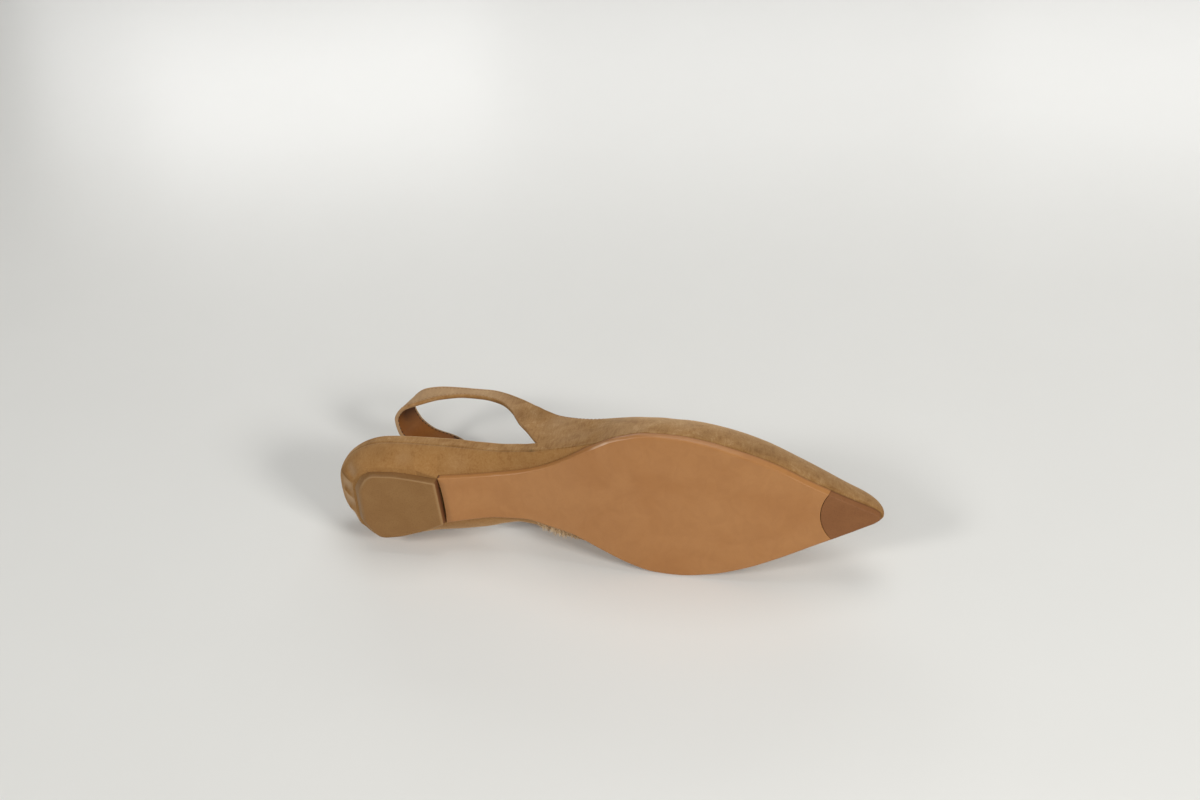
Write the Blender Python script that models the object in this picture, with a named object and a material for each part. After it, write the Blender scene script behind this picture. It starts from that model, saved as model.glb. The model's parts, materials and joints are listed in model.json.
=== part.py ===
"""Right slingback shoe, a pointed flat, lying on its medial side.

Shoe frame, in millimetres: x from the back of the heel seat to the toe, y towards the medial
side, z up from the plane the shoe walks on. The whole shoe is then laid on its side.
"""
import math
from collections import namedtuple

import bmesh
import bpy
import numpy as np
from mathutils import Matrix, Vector

MM = 0.001

# Driving dimensions, millimetres
GAP = 0.3                 # clearance between neighbouring pieces
WALL = 1.9                # suede and lining of the upper
SOLE_THICKNESS = 2.8
INSOLE_THICKNESS = 3.0    # under the forefoot
SEAT_BACK = -1.6          # back of the heel seat
LIFT_HEIGHT = 5.0
LIFT_BACK = 14.0          # back edge of the lift on the ground, before its edge is eased
LIFT_BACK_SLOPE = 3.6     # the lift's back wall leans out by this much at its top
LIFT_LEAN_END = 30.0      # the lean has died out here
LIFT_BREAST = 53.7        # front face of the lift
SOLE_START = 54.1         # back end of the outsole
BREAST_HOLLOW = 0.8       # the outsole's back edge is hollowed by this much
BREAST_RADIUS = 100.0
WRAP_BACK_LIP = 1.0       # the wrap's underside starts this far behind the lift
WRAP_LEDGE_BACK = 0.8     # the wrap stands out past the lift, behind it
WRAP_LEDGE_SIDE = 4.2     # and beside it, just behind the breast
WRAP_TURN = 40.0          # from here its lower edge runs over from the lift to the outsole
WRAP_ON_SOLE_INSET = 0.2
WRAP_END = 124.0          # the heel wrap thins out to a lip here
QUARTER_CORNER = 100.0    # back end of the quarters on the insole rim
RIM_END = 98.5            # the insole steps in under the quarters here
FOOTBED_EVEN = 158.0      # from here the insole has one thickness
SOLE_TOE = 263.0
UPPER_TOE = 264.0
INSOLE_TOE = 257.0
INSOLE_TIP_HALF = 0.8     # half width of the insole's blunt tip
INSOLE_TIP_ROUND = 3.0
INSOLE_FIT = 0.6          # the insole stays this far from the upper's wall
INSOLE_TOE_FIT = 1.5      # and this far at the toe
TOE_NARROWS = 200.0
TIP_ARC_RADIUS = 18.8     # joint of the toe insert, bowed towards the heel
TIP_ARC_BACK = 236.0
TIP_ARC_CENTRE_Y = 3.8
CUTTER_HEIGHT = 40.0

# Densities, kilograms per cubic metre
LEATHER = 900.0
RUBBER = 1150.0
CORE = 600.0

Edge = namedtuple("Edge", "x lateral medial")
Level = namedtuple("Level", "x bottom")
Seat = namedtuple("Seat", "x seam rim")
Top = namedtuple("Top", "x y z")
Band = namedtuple("Band", "low_x low_y low_z top_x top_y top_z")
Wall = namedtuple("Wall", "along lateral medial fullness bulge")
Layer = namedtuple("Layer", "inset rise")
Bowl = namedtuple("Bowl", "rise spread")

# Edge of the outsole, seen from below
SOLE_PLAN = [
    Edge(54, -10.4, 15.5), Edge(66, -10.9, 13.9), Edge(80, -12.1, 12.5), Edge(94, -14.4, 12.5),
    Edge(106, -18.0, 15.4), Edge(118, -23.6, 18.9), Edge(130, -29.9, 25.2), Edge(144, -36.3, 32.4),
    Edge(157, -38.7, 36.8), Edge(170, -37.9, 38.1), Edge(184, -35.0, 36.9), Edge(200, -29.6, 32.8),
    Edge(216, -22.4, 26.9), Edge(232, -12.7, 20.2), Edge(246, -4.7, 14.6), Edge(256, 0.7, 10.5),
    Edge(266, 6.0, 6.4),
]

# Edge of the seat, the insole and the foot of the upper
FEATHER_PLAN = [
    Edge(-2, -19.8, 22.6), Edge(30, -21.5, 27.7), Edge(55, -20.7, 26.3), Edge(72, -20.1, 23.6),
    Edge(82, -20.3, 20.4), Edge(90, -21.2, 18.6), Edge(100, -22.6, 19.4), Edge(112, -25.4, 22.4),
    Edge(122, -28.2, 24.2), Edge(132, -31.6, 26.9), Edge(144, -36.6, 31.8), Edge(157, -39.0, 36.0),
    Edge(170, -38.3, 37.3), Edge(184, -35.6, 36.4), Edge(200, -30.5, 33.5), Edge(216, -23.6, 28.0),
    Edge(232, -14.2, 21.6), Edge(246, -6.3, 16.1), Edge(256, -0.9, 12.1), Edge(268, 5.6, 7.2),
]

# Edge of the heel lift on the ground
LIFT_PLAN = [
    Edge(LIFT_BACK, -8.4, 17.6), Edge(18, -11.9, 20.5), Edge(23, -13.0, 22.2), Edge(30, -13.0, 21.5),
    Edge(40, -12.0, 19.0), Edge(47.7, -10.8, 16.2), Edge(54, -9.7, 13.4),
]

# Eased edges, from the tread up, millimetres
SOLE_EDGE = [Layer(0.8, 0.0), Layer(0.25, 0.3), Layer(0.0, 0.9), Layer(0.0, SOLE_THICKNESS)]
LIFT_EDGE = [Layer(1.5, 0.0), Layer(0.5, 0.35), Layer(0.0, 1.4), Layer(0.0, LIFT_HEIGHT)]

# Edge of the insole: inset in millimetres, rise as a share of its thickness
RIM_EDGE = [Layer(0.3, 0.0), Layer(0.0, 0.15), Layer(0.0, 0.75), Layer(0.4, 0.93), Layer(1.4, 1.0)]

# The wrap's wall, from its narrow underside to the seat: shares of its height and of its spread
WRAP_BOWL = [
    Bowl(0.0, 0.0), Bowl(0.1, 0.2), Bowl(0.3, 0.5), Bowl(0.55, 0.77), Bowl(0.8, 0.94), Bowl(1.0, 1.0),
]

# Underside of the outsole: arch, flat tread and toe spring
SOLE_BOTTOM = [
    Level(54, 4.5), Level(66, 5.5), Level(80, 6.0), Level(92, 5.6), Level(104, 4.5),
    Level(118, 2.9), Level(132, 1.4), Level(144, 0.4), Level(152, 0.0), Level(196, 0.0),
    Level(210, 0.5), Level(225, 1.5), Level(240, 2.9), Level(252, 4.2), Level(268, 6.2),
]

# Seam between the heel wrap and the insole, and the top of the insole's rim
SEAT_PROFILE = [
    Seat(-2, 18.6, 24.8), Seat(30, 18.6, 26.3), Seat(55, 17.8, 26.2), Seat(72, 16.2, 24.5),
    Seat(82, 14.6, 23.0), Seat(100, 11.4, 19.6), Seat(112, 8.9, 15.6), Seat(122, 6.7, 12.2),
    Seat(132, 4.4, 9.2), Seat(145, 3.2, 7.2), Seat(158, 2.8, 6.3),
]

# Topline of the upper on the lateral side, from the quarter to the middle of the throat
TOPLINE = [
    Top(94, -24.0, 52.8), Top(100, -25.0, 46.8), Top(107, -26.2, 40.4), Top(115, -27.8, 35.4),
    Top(124, -29.2, 31.6), Top(136, -30.2, 29.6), Top(148, -30.0, 30.4), Top(158, -28.0, 32.8),
    Top(168, -23.6, 36.2), Top(176.6, -16.4, 39.9), Top(182.8, -8.8, 42.8), Top(185.2, -2.6, 43.9),
    Top(185.5, 0.8, 44.0),
]

# Sling strap from the lateral quarter round the back to the medial quarter
STRAP = [
    Band(100, -23.6, 20.6, 92.0, -23.6, 54.5), Band(95.4, -23.5, 26.0, 87, -22.8, 59.5),
    Band(86.5, -22.0, 39.6, 80, -21.6, 66.0), Band(78.9, -21.0, 53.8, 72, -20.4, 72.4),
    Band(71, -20.2, 63.2, 64, -19.8, 76.4), Band(60, -19.6, 68.8, 55, -19.6, 78.0),
    Band(49, -19.5, 70.1, 46, -19.9, 78.8), Band(38, -18.8, 69.0, 36, -19.6, 80.0),
    Band(26, -15.9, 67.9, 27.5, -18.4, 80.2), Band(15.6, -12.2, 67.5, 21.8, -14.8, 80.4),
    Band(11.4, -5.4, 67.4, 18.6, -8.4, 80.4), Band(12.7, 2.4, 67.0, 21.0, -1.2, 80.3),
    Band(20.8, 9.2, 67.0, 28.8, 7.0, 80.3), Band(35, 13.0, 66.6, 39.2, 11.0, 79.8),
    Band(50, 17.0, 64.4, 51, 16.2, 75.8), Band(64, 21.0, 59.5, 62, 20.4, 72.6),
    Band(77, 23.6, 50.5, 73, 23.4, 67.6), Band(88, 23.4, 37.6, 82, 24.2, 61.8),
    Band(96, 22.0, 26.0, 88.5, 23.6, 57.0), Band(100, 21.2, 20.6, 92.5, 22.8, 54.0),
]

# Form of the upper's wall from the quarter, 0, to the toe, 1: how round each side is, how soon
# it turns over, and how far it swells out past its foot, millimetres
WALL_FORM = [
    Wall(0.0, 0.0, 0.0, 2.0, 0.0), Wall(0.15, 0.5, 0.4, 2.0, 0.0), Wall(0.34, 0.82, 0.56, 2.2, 0.2),
    Wall(0.6, 0.74, 0.66, 3.8, 1.6), Wall(0.8, 0.62, 0.6, 5.6, 1.9), Wall(0.94, 0.48, 0.48, 8.4, 1.3),
    Wall(1.0, 0.47, 0.47, 8.6, 1.25),
]

VAMP_COLUMNS = 34
QUARTER_COLUMNS = 4       # first columns of the vamp, whose wall is flat like the strap's
STRAP_COLUMNS = 48
WALL_ROWS = 11
QUARTER_EASE = 0.2        # share of the vamp's length over which the quarter's wall becomes round
THROAT_GATHER = 1.5       # how much closer the columns lie at the throat
TOE_GATHER = 1.25         # and at the toe
RIDGE_EASE = 0.1          # the toe ridge is rounded over this share of each side's length
RIDGE_REACH = 0.3


def column(rows, name):
    return np.array([getattr(row, name) for row in rows], dtype=float)


def curve(xs, ys):
    """Smooth curve through the points that never overshoots them (monotone cubic)."""
    step = np.diff(xs)
    slope = np.diff(ys) / step
    tangent = np.zeros(len(xs))
    for i in range(1, len(xs) - 1):
        if slope[i - 1] * slope[i] > 0:
            near = 2 * step[i] + step[i - 1]
            far = step[i] + 2 * step[i - 1]
            tangent[i] = (near + far) / (near / slope[i - 1] + far / slope[i])
    tangent[0], tangent[-1] = slope[0], slope[-1]

    def value(x):
        x = np.clip(np.asarray(x, dtype=float), xs[0], xs[-1])
        i = np.clip(np.searchsorted(xs, x, side="right") - 1, 0, len(step) - 1)
        s = (x - xs[i]) / step[i]
        return ((1 + 2 * s) * (1 - s) ** 2 * ys[i] + s * (1 - s) ** 2 * step[i] * tangent[i]
                + s * s * (3 - 2 * s) * ys[i + 1] + s * s * (s - 1) * step[i] * tangent[i + 1])

    return value


def table_curve(rows, across, name):
    return curve(column(rows, across), column(rows, name))


sole_bottom = table_curve(SOLE_BOTTOM, "x", "bottom")
seam_height = table_curve(SEAT_PROFILE, "x", "seam")
rim_height = table_curve(SEAT_PROFILE, "x", "rim")


def sole_top(x):
    return sole_bottom(x) + SOLE_THICKNESS


def foot_of_upper(x):
    """Height that the insole and the upper stand on: the wrap's seam, then the outsole."""
    return np.maximum(seam_height(x), sole_top(x)) + GAP


class Plan:
    """Lateral and medial edge of a flat piece, with its two ends rounded."""

    def __init__(self, rows, back, front, back_round, front_round, back_flat=1.0, front_flat=1.0):
        self.lateral = table_curve(rows, "x", "lateral")
        self.medial = table_curve(rows, "x", "medial")
        self.ends = (back, back_round, back_flat), (front, front_round, front_flat)

    def edges(self, x, inset=0.0):
        lateral, medial = self.lateral(x), self.medial(x)
        middle, half = (lateral + medial) / 2, (medial - lateral) / 2 - inset
        for end, radius, flat in self.ends:
            if radius > 0:
                depth = np.clip(np.abs(x - end) / radius, 0, 1)
                half = flat + (half - flat) * np.sqrt(1 - (1 - depth) ** 2)
        return middle - half, middle + half


sole_plan = Plan(SOLE_PLAN, SOLE_START, SOLE_TOE, 0, 3.4, front_flat=0.5)
seat_plan = Plan(FEATHER_PLAN, SEAT_BACK, UPPER_TOE, 25.0, 4.6, back_flat=3.0, front_flat=0.6)
lift_plan = Plan(LIFT_PLAN, LIFT_BACK, LIFT_BREAST, 8.0, 0, back_flat=7.8)


def stations(back, front, count, cluster=(True, True)):
    """Places along the shoe from back to front, closer together at the rounded ends."""
    s = np.linspace(0, 1, count)
    if cluster == (True, True):
        s = (1 - np.cos(np.pi * s)) / 2
    elif cluster == (True, False):
        s = 1 - np.cos(np.pi / 2 * s)
    elif cluster == (False, True):
        s = np.sin(np.pi / 2 * s)
    return back + (front - back) * s


def add_object(name, verts, faces, material):
    mesh = bpy.data.meshes.new(name)
    mesh.from_pydata([tuple(MM * np.array(v)) for v in verts], [], faces)
    mesh.validate()
    mesh.materials.append(material)
    mesh.shade_smooth()
    mesh.set_sharp_from_angle(angle=math.radians(40))
    item = bpy.data.objects.new(name, mesh)
    bpy.context.scene.collection.objects.link(item)
    return item


def layered(name, layers, material):
    """Closed solid through layers from bottom to top.

    A layer is two rows of points, lateral and medial, matched from the back to the front.
    """
    count = len(layers[0][0])
    verts = [point for lateral, medial in layers for point in (*lateral, *medial)]
    ring = [*range(count), *range(2 * count - 1, count - 1, -1)]
    faces = []
    for k in range(count - 1):
        faces.append((k, count + k, count + k + 1, k + 1))
        top = (len(layers) - 1) * 2 * count
        faces.append((top + k, top + k + 1, top + count + k + 1, top + count + k))
    for level in range(len(layers) - 1):
        low, high = level * 2 * count, (level + 1) * 2 * count
        for i, here in enumerate(ring):
            there = ring[(i + 1) % len(ring)]
            faces.append((low + here, low + there, high + there, high + here))
    return add_object(name, verts, faces, material)


def rows_at(x, lateral, medial, z):
    z = np.broadcast_to(z, np.shape(x))
    return np.column_stack((x, lateral, z)), np.column_stack((x, medial, z))


def make_material(name, colour, roughness):
    material = bpy.data.materials.new(name)
    material.use_nodes = True
    shader = material.node_tree.nodes["Principled BSDF"]
    shader.inputs["Base Color"].default_value = (*colour, 1.0)
    shader.inputs["Roughness"].default_value = roughness
    shader.inputs["Metallic"].default_value = 0.0
    return material


def sole_blank(name, material):
    """Outsole and toe insert in one piece, with an eased lower edge."""
    x = stations(SOLE_START, SOLE_TOE, 52, (False, True))
    bottom = sole_bottom(x)
    layers = []
    for edge in SOLE_EDGE:
        layers.append(rows_at(x, *sole_plan.edges(x, edge.inset), bottom + edge.rise))
    return layered(name, layers, material)


def disc_cutter(name, radius, centre_x, centre_y, segments):
    """Upright disc that cuts an arc through the sole."""
    mesh = bpy.data.meshes.new(name)
    form = bmesh.new()
    bmesh.ops.create_cone(form, cap_ends=True, segments=segments, radius1=radius * MM,
                          radius2=radius * MM, depth=CUTTER_HEIGHT * MM)
    form.to_mesh(mesh)
    form.free()
    cutter = bpy.data.objects.new(name, mesh)
    cutter.location = Vector((centre_x, centre_y, 0)) * MM
    cutter.hide_render = True
    cutter.display_type = "WIRE"
    bpy.context.scene.collection.objects.link(cutter)
    return cutter


def cut(item, cutter, operation):
    modifier = item.modifiers.new("cut", "BOOLEAN")
    modifier.operation = operation
    modifier.object = cutter
    modifier.solver = "EXACT"


def tip_cutter(name, radius):
    """Disc whose back rim is the joint of the toe insert."""
    return disc_cutter(name, radius, TIP_ARC_BACK + TIP_ARC_RADIUS, TIP_ARC_CENTRE_Y, 96)


def breast_cutter():
    """Disc whose front rim hollows the back edge of the outsole."""
    lateral, medial = sole_plan.edges(SOLE_START)
    front = SOLE_START + BREAST_HOLLOW
    return disc_cutter("breast_arc", BREAST_RADIUS, front - BREAST_RADIUS, (lateral + medial) / 2, 180)


def make_sole():
    leather = make_material("sole_leather", (0.39, 0.19, 0.075), 0.42)
    rubber = make_material("tip_rubber", (0.245, 0.107, 0.041), 0.55)
    outsole = sole_blank("outsole", leather)
    cut(outsole, breast_cutter(), "DIFFERENCE")
    cut(outsole, tip_cutter("tip_recess", TIP_ARC_RADIUS + GAP / 2), "DIFFERENCE")
    tip = sole_blank("toe_tip", rubber)
    cut(tip, tip_cutter("tip_outline", TIP_ARC_RADIUS - GAP / 2), "INTERSECT")
    return outsole, tip


def make_lift():
    """Rubber top piece: upright sides, a back that leans out, an eased tread edge."""
    rubber = make_material("lift_rubber", (0.238, 0.127, 0.050), 0.6)
    x = stations(LIFT_BACK, LIFT_BREAST, 22, (True, False))
    back_share = np.clip((LIFT_LEAN_END - x) / (LIFT_LEAN_END - LIFT_BACK), 0, 1)
    front_share = np.clip((x - LIFT_LEAN_END) / (LIFT_BREAST - LIFT_LEAN_END), 0, 1)
    layers = []
    for edge in LIFT_EDGE:
        lean = LIFT_BACK_SLOPE * edge.rise / LIFT_HEIGHT - edge.inset
        layer_x = x - lean * back_share - edge.inset * front_share
        layers.append(rows_at(layer_x, *lift_plan.edges(x, edge.inset), edge.rise))
    return layered("heel_lift", layers, rubber)


def make_wrap():
    """Suede-covered heel block and shank: a bowl from the narrow underside up to the seat.

    Its underside lies on the lift and steps up on to the outsole; its wall runs over the step smoothly.
    """
    suede = make_material("suede_wrap", (0.314, 0.171, 0.066), 0.95)
    over_lift = stations(SEAT_BACK, LIFT_BREAST, 26, (True, False))
    over_sole = stations(LIFT_BREAST + GAP, WRAP_END, 18, (False, False))
    x = np.concatenate((over_lift, over_sole))
    overhang = LIFT_BACK_SLOPE + WRAP_BACK_LIP
    back_x = LIFT_BACK - overhang
    share = (x - SEAT_BACK) / (LIFT_BREAST - SEAT_BACK)
    low_x = np.where(x < LIFT_BREAST, back_x + (LIFT_BREAST - back_x) * share, x)
    ledge = WRAP_LEDGE_BACK + (WRAP_LEDGE_SIDE - WRAP_LEDGE_BACK) * np.clip(share, 0, 1)
    lift_lateral, lift_medial = lift_plan.edges(np.maximum(low_x + overhang, LIFT_BACK), -ledge)
    sole_lateral, sole_medial = sole_plan.edges(x, WRAP_ON_SOLE_INSET)
    on_sole = np.clip((x - WRAP_TURN) / (LIFT_BREAST - WRAP_TURN), 0, 1)
    low_lateral = lift_lateral + (sole_lateral - lift_lateral) * on_sole
    low_medial = lift_medial + (sole_medial - lift_medial) * on_sole
    top_lateral, top_medial = seat_plan.edges(x)
    lift_z, sole_z = LIFT_HEIGHT + GAP, sole_top(np.maximum(x, SOLE_START)) + GAP
    underside = np.where(x <= LIFT_BREAST, lift_z, sole_z)
    floor = lift_z + (sole_z - lift_z) * on_sole
    layers = []
    for bowl in WRAP_BOWL:
        layer_x = low_x + (x - low_x) * bowl.spread
        lateral = low_lateral + (top_lateral - low_lateral) * bowl.spread
        medial = low_medial + (top_medial - low_medial) * bowl.spread
        z = floor + (seam_height(x) - floor) * bowl.rise if bowl.rise > 0 else underside
        layers.append(rows_at(layer_x, lateral, medial, z))
    return layered("heel_wrap", layers, suede)


def make_insole():
    """Footbed: full width with its rim showing at the heel, inside the upper from the quarters on."""
    lining = make_material("insole_lining", (0.181, 0.067, 0.025), 0.6)
    at_heel = stations(SEAT_BACK, RIM_END, 32, (True, False))
    in_upper = stations(RIM_END + GAP, INSOLE_TOE, 36, (False, True))
    x = np.concatenate((at_heel, in_upper))
    toe_share = np.clip((x - TOE_NARROWS) / (INSOLE_TOE - TOE_NARROWS), 0, 1)
    inset = np.where(x > RIM_END, WALL + INSOLE_FIT + (INSOLE_TOE_FIT - INSOLE_FIT) * toe_share, 0)
    bottom = np.where(x < WRAP_END, seam_height(x) + GAP, foot_of_upper(x))
    even = bottom + INSOLE_THICKNESS
    top = np.where(x < FOOTBED_EVEN, np.maximum(rim_height(x), even), even)
    lateral, medial = seat_plan.edges(x)
    middle, half = (lateral + medial) / 2, (medial - lateral) / 2
    tip_round = np.sqrt(1 - (1 - np.clip((INSOLE_TOE - x) / INSOLE_TIP_ROUND, 0, 1)) ** 2)
    layers = []
    for edge in RIM_EDGE:
        reach = INSOLE_TIP_HALF + (half - inset - edge.inset - INSOLE_TIP_HALF) * tip_round
        layers.append(rows_at(x, middle - reach, middle + reach, bottom + (top - bottom) * edge.rise))
    return layered("insole", layers, lining)


def path(points):
    """Smooth line through the points, as a function of the share of its length."""
    points = np.asarray(points, dtype=float)
    length = np.concatenate(([0], np.cumsum(np.linalg.norm(np.diff(points, axis=0), axis=1))))
    axes = [curve(length / length[-1], axis) for axis in points.T]
    return lambda share: np.stack([axis(share) for axis in axes], axis=-1)


def feather_line(side, count=160):
    """Foot of the upper from the quarter's corner to the toe, on one side."""
    x = stations(QUARTER_CORNER, UPPER_TOE, count, (False, True))
    lateral, medial = seat_plan.edges(x)
    return np.column_stack((x, lateral if side == "lateral" else medial, foot_of_upper(x)))


def topline(side):
    """Topline from the quarter to the throat; the medial one is the lateral one mirrored."""
    rows = np.array(TOPLINE, dtype=float)
    if side == "medial":
        middle = (seat_plan.lateral(rows[:, 0]) + seat_plan.medial(rows[:, 0])) / 2
        rows[:, 1] = 2 * middle - rows[:, 1]
        rows[-1, 1] = TOPLINE[-1].y
    return rows


def wall_form(name, t):
    return table_curve(WALL_FORM, "along", name)(t)


def side_wall(side, t, v):
    """Outer face of one side, t from the quarter's corner to the toe, v from the foot to the topline."""
    foot = path(feather_line(side))(t)
    top = path(topline(side))(1 - (1 - t) ** THROAT_GATHER)
    ease = np.minimum(1, t / QUARTER_EASE)
    inward = v * (1 - ease) + v ** 2 * ease
    dome = np.sqrt(1 - (1 - inward) ** wall_form("fullness", t))
    roundness = wall_form(side, t)
    upward = roundness * dome + (1 - roundness) * (v * (1 - ease) + inward * ease)
    reach = top - foot
    place = foot + inward[..., None] * reach
    place[..., 2] = foot[..., 2] + upward * reach[..., 2]
    swell = wall_form("bulge", t) * np.sin(np.pi * np.sqrt(v))
    place[..., :2] -= (swell / np.hypot(reach[..., 0], reach[..., 1]))[..., None] * reach[..., :2]
    return place


def vamp(s, v):
    """Outer face of vamp and quarters, s from the lateral corner, -1, by the toe, 0, to the medial, 1."""
    t = 1 - np.minimum(np.abs(s), 1)
    return np.where(s[..., None] < 0, side_wall("lateral", t, v), side_wall("medial", t, v))


def vamp_columns():
    """Columns of the vamp from the medial corner to the lateral corner, its ridge rounded off."""
    u = np.linspace(1, -1, 2 * VAMP_COLUMNS - 1)
    s, v = np.meshgrid(np.sign(u) * np.abs(u) ** TOE_GATHER, np.linspace(0, 1, WALL_ROWS), indexing="ij")
    blur = RIDGE_EASE * v * np.clip(1 - np.abs(s) / RIDGE_REACH, 0, 1)
    offsets = np.linspace(-1, 1, 11)
    weights = 1 - np.abs(offsets)
    eased = sum(weight * vamp(s + offset * blur, v) for offset, weight in zip(offsets, weights))
    return eased / weights.sum()


def strap_columns():
    """Columns of the sling strap from the lateral corner to the medial corner, low edge to top."""
    rows = np.array(STRAP, dtype=float)
    knots = np.arange(len(rows), dtype=float)
    place = np.linspace(0, len(rows) - 1, STRAP_COLUMNS)
    smooth = np.column_stack([curve(knots, rows[:, k])(place) for k in range(6)])
    v = np.linspace(0, 1, WALL_ROWS)
    return [low_top[:3] + np.outer(v, low_top[3:] - low_top[:3]) for low_top in smooth]


def upper_grid():
    """Outer face of the upper as a closed loop of columns: strap, medial side, toe, lateral side."""
    return np.array([*strap_columns(), *vamp_columns()])


def grid_normals(grid):
    """Outward unit normals of the closed loop of columns."""
    across = np.roll(grid, -1, axis=0) - np.roll(grid, 1, axis=0)
    upward = np.gradient(grid, axis=1)
    normal = np.cross(upward, across)
    band = [*range(-QUARTER_COLUMNS, STRAP_COLUMNS + QUARTER_COLUMNS)]
    normal[band] = normal[band, WALL_ROWS // 2][:, None]
    normal[:, 0, 2] = 0
    return normal / np.linalg.norm(normal, axis=2, keepdims=True)


def make_upper():
    """Vamp, quarters and strap: one ring of suede with a real wall, open above and below."""
    suede = make_material("suede_upper", (0.314, 0.171, 0.066), 0.95)
    outer = upper_grid()
    inner = outer - WALL * grid_normals(outer)
    count, rows = outer.shape[:2]
    verts = [*outer.reshape(-1, 3), *inner.reshape(-1, 3)]
    shift = count * rows
    faces = []
    for c in range(count):
        n = (c + 1) % count
        for r in range(rows - 1):
            a, b = c * rows + r, n * rows + r
            faces.append((a, a + 1, b + 1, b))
            faces.append((shift + a, shift + b, shift + b + 1, shift + a + 1))
        low, low_next = c * rows, n * rows
        faces.append((low, low_next, shift + low_next, shift + low))
        high, high_next = low + rows - 1, low_next + rows - 1
        faces.append((high, shift + high, shift + high_next, high_next))
    return add_object("upper", verts, faces, suede)


def world_verts(item):
    shape = item.evaluated_get(bpy.context.evaluated_depsgraph_get())
    mesh = shape.to_mesh()
    verts = [item.matrix_world @ v.co for v in mesh.vertices]
    mesh.calc_loop_triangles()
    triangles = [tuple(t.vertices) for t in mesh.loop_triangles]
    shape.to_mesh_clear()
    return verts, triangles


def centre_of_mass(weighed):
    total, moment = 0.0, Vector()
    for item, density in weighed:
        verts, triangles = world_verts(item)
        for i, j, k in triangles:
            volume = verts[i].dot(verts[j].cross(verts[k])) / 6 * density
            total += volume
            moment += volume * (verts[i] + verts[j] + verts[k]) / 4
    return moment / total


def holds(face, point):
    """True where a point, dropped square on to a face of the hull, lands inside it."""
    corners = [vert.co for vert in face.verts]
    for here, there in zip(corners, corners[1:] + corners[:1]):
        if (there - here).cross(point - here).dot(face.normal) < 0:
            return False
    return True


def side_rest(weighed):
    """Down direction, in the shoe frame, of the medial face of the hull that the shoe rests on."""
    centre = centre_of_mass(weighed)
    hull = bmesh.new()
    for item, _ in weighed:
        for co in world_verts(item)[0]:
            hull.verts.new(co)
    bmesh.ops.convex_hull(hull, input=hull.verts)
    hull.normal_update()
    medial = [face for face in hull.faces if face.normal.y > 0.7]
    resting = max(medial, key=lambda face: (holds(face, centre), face.calc_area()))
    down = resting.normal.copy()
    hull.free()
    return down


def lay_down(weighed):
    """Lay the shoe on its side under one empty: toe along +X, sole towards -Y."""
    up = -side_rest(weighed)
    along_x = (Vector((1, 0, 0)) - up * up.x).normalized()
    away = up.cross(along_x)
    turn = Matrix((along_x, away, up)).to_4x4()
    corners = [turn @ co for item, _ in weighed for co in world_verts(item)[0]]
    low = Vector([min(co[k] for co in corners) for k in range(3)])
    high = Vector([max(co[k] for co in corners) for k in range(3)])
    shift = Vector(((low.x + high.x) / 2, (low.y + high.y) / 2, low.z))
    frame = bpy.data.objects.new("shoe_frame", None)
    bpy.context.scene.collection.objects.link(frame)
    for item in bpy.context.scene.objects:
        if item is not frame:
            item.parent = frame
    frame.matrix_world = Matrix.Translation(-shift) @ turn
    bpy.context.view_layer.update()


def main():
    for item in list(bpy.data.objects):
        bpy.data.objects.remove(item, do_unlink=True)
    outsole, tip = make_sole()
    weighed = [
        (make_upper(), LEATHER), (make_insole(), CORE), (make_wrap(), CORE),
        (outsole, LEATHER), (tip, RUBBER), (make_lift(), RUBBER),
    ]
    bpy.context.view_layer.update()
    lay_down(weighed)


main()
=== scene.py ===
"""Looks of the right slingback shoe: suede, linings, leather sole, rubber, folds, seams and light.

Shapes are worked out in the shoe frame, in millimetres: x from the back of the heel seat to the
toe, y towards the medial side, z up from the plane the shoe walks on. The two tread faces in the
record say where that frame lies.
"""
import json
import math
from collections import namedtuple

import bmesh
import bpy
import numpy as np
from mathutils import Matrix, Vector


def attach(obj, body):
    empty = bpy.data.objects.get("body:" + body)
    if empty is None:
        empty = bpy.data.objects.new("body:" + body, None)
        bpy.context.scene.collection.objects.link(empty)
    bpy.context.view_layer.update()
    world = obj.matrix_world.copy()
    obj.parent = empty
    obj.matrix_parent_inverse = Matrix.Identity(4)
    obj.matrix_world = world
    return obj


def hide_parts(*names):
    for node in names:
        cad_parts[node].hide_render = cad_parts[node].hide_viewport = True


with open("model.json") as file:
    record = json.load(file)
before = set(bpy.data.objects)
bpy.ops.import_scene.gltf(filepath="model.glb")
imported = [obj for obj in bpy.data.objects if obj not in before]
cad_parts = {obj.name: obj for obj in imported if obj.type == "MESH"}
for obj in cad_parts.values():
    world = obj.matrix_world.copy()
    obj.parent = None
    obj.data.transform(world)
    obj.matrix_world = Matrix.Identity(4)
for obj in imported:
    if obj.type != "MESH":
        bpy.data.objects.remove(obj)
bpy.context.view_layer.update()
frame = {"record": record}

MM = 0.001


def lerp(first, last, share):
    return first + (last - first) * share


def ramp(value, start, end):
    """Share from 0 at the start to 1 at the end, level beyond both."""
    return np.clip((value - start) / (end - start), 0, 1)


def bell(away, width):
    """Soft peak of height 1."""
    return np.exp(-(away / width) ** 2)


class Change(namedtuple("Change", "first last start end")):
    """Size or shade that changes between two places."""

    def at(self, place):
        return lerp(self.first, self.last, ramp(place, self.start, self.end))


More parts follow.
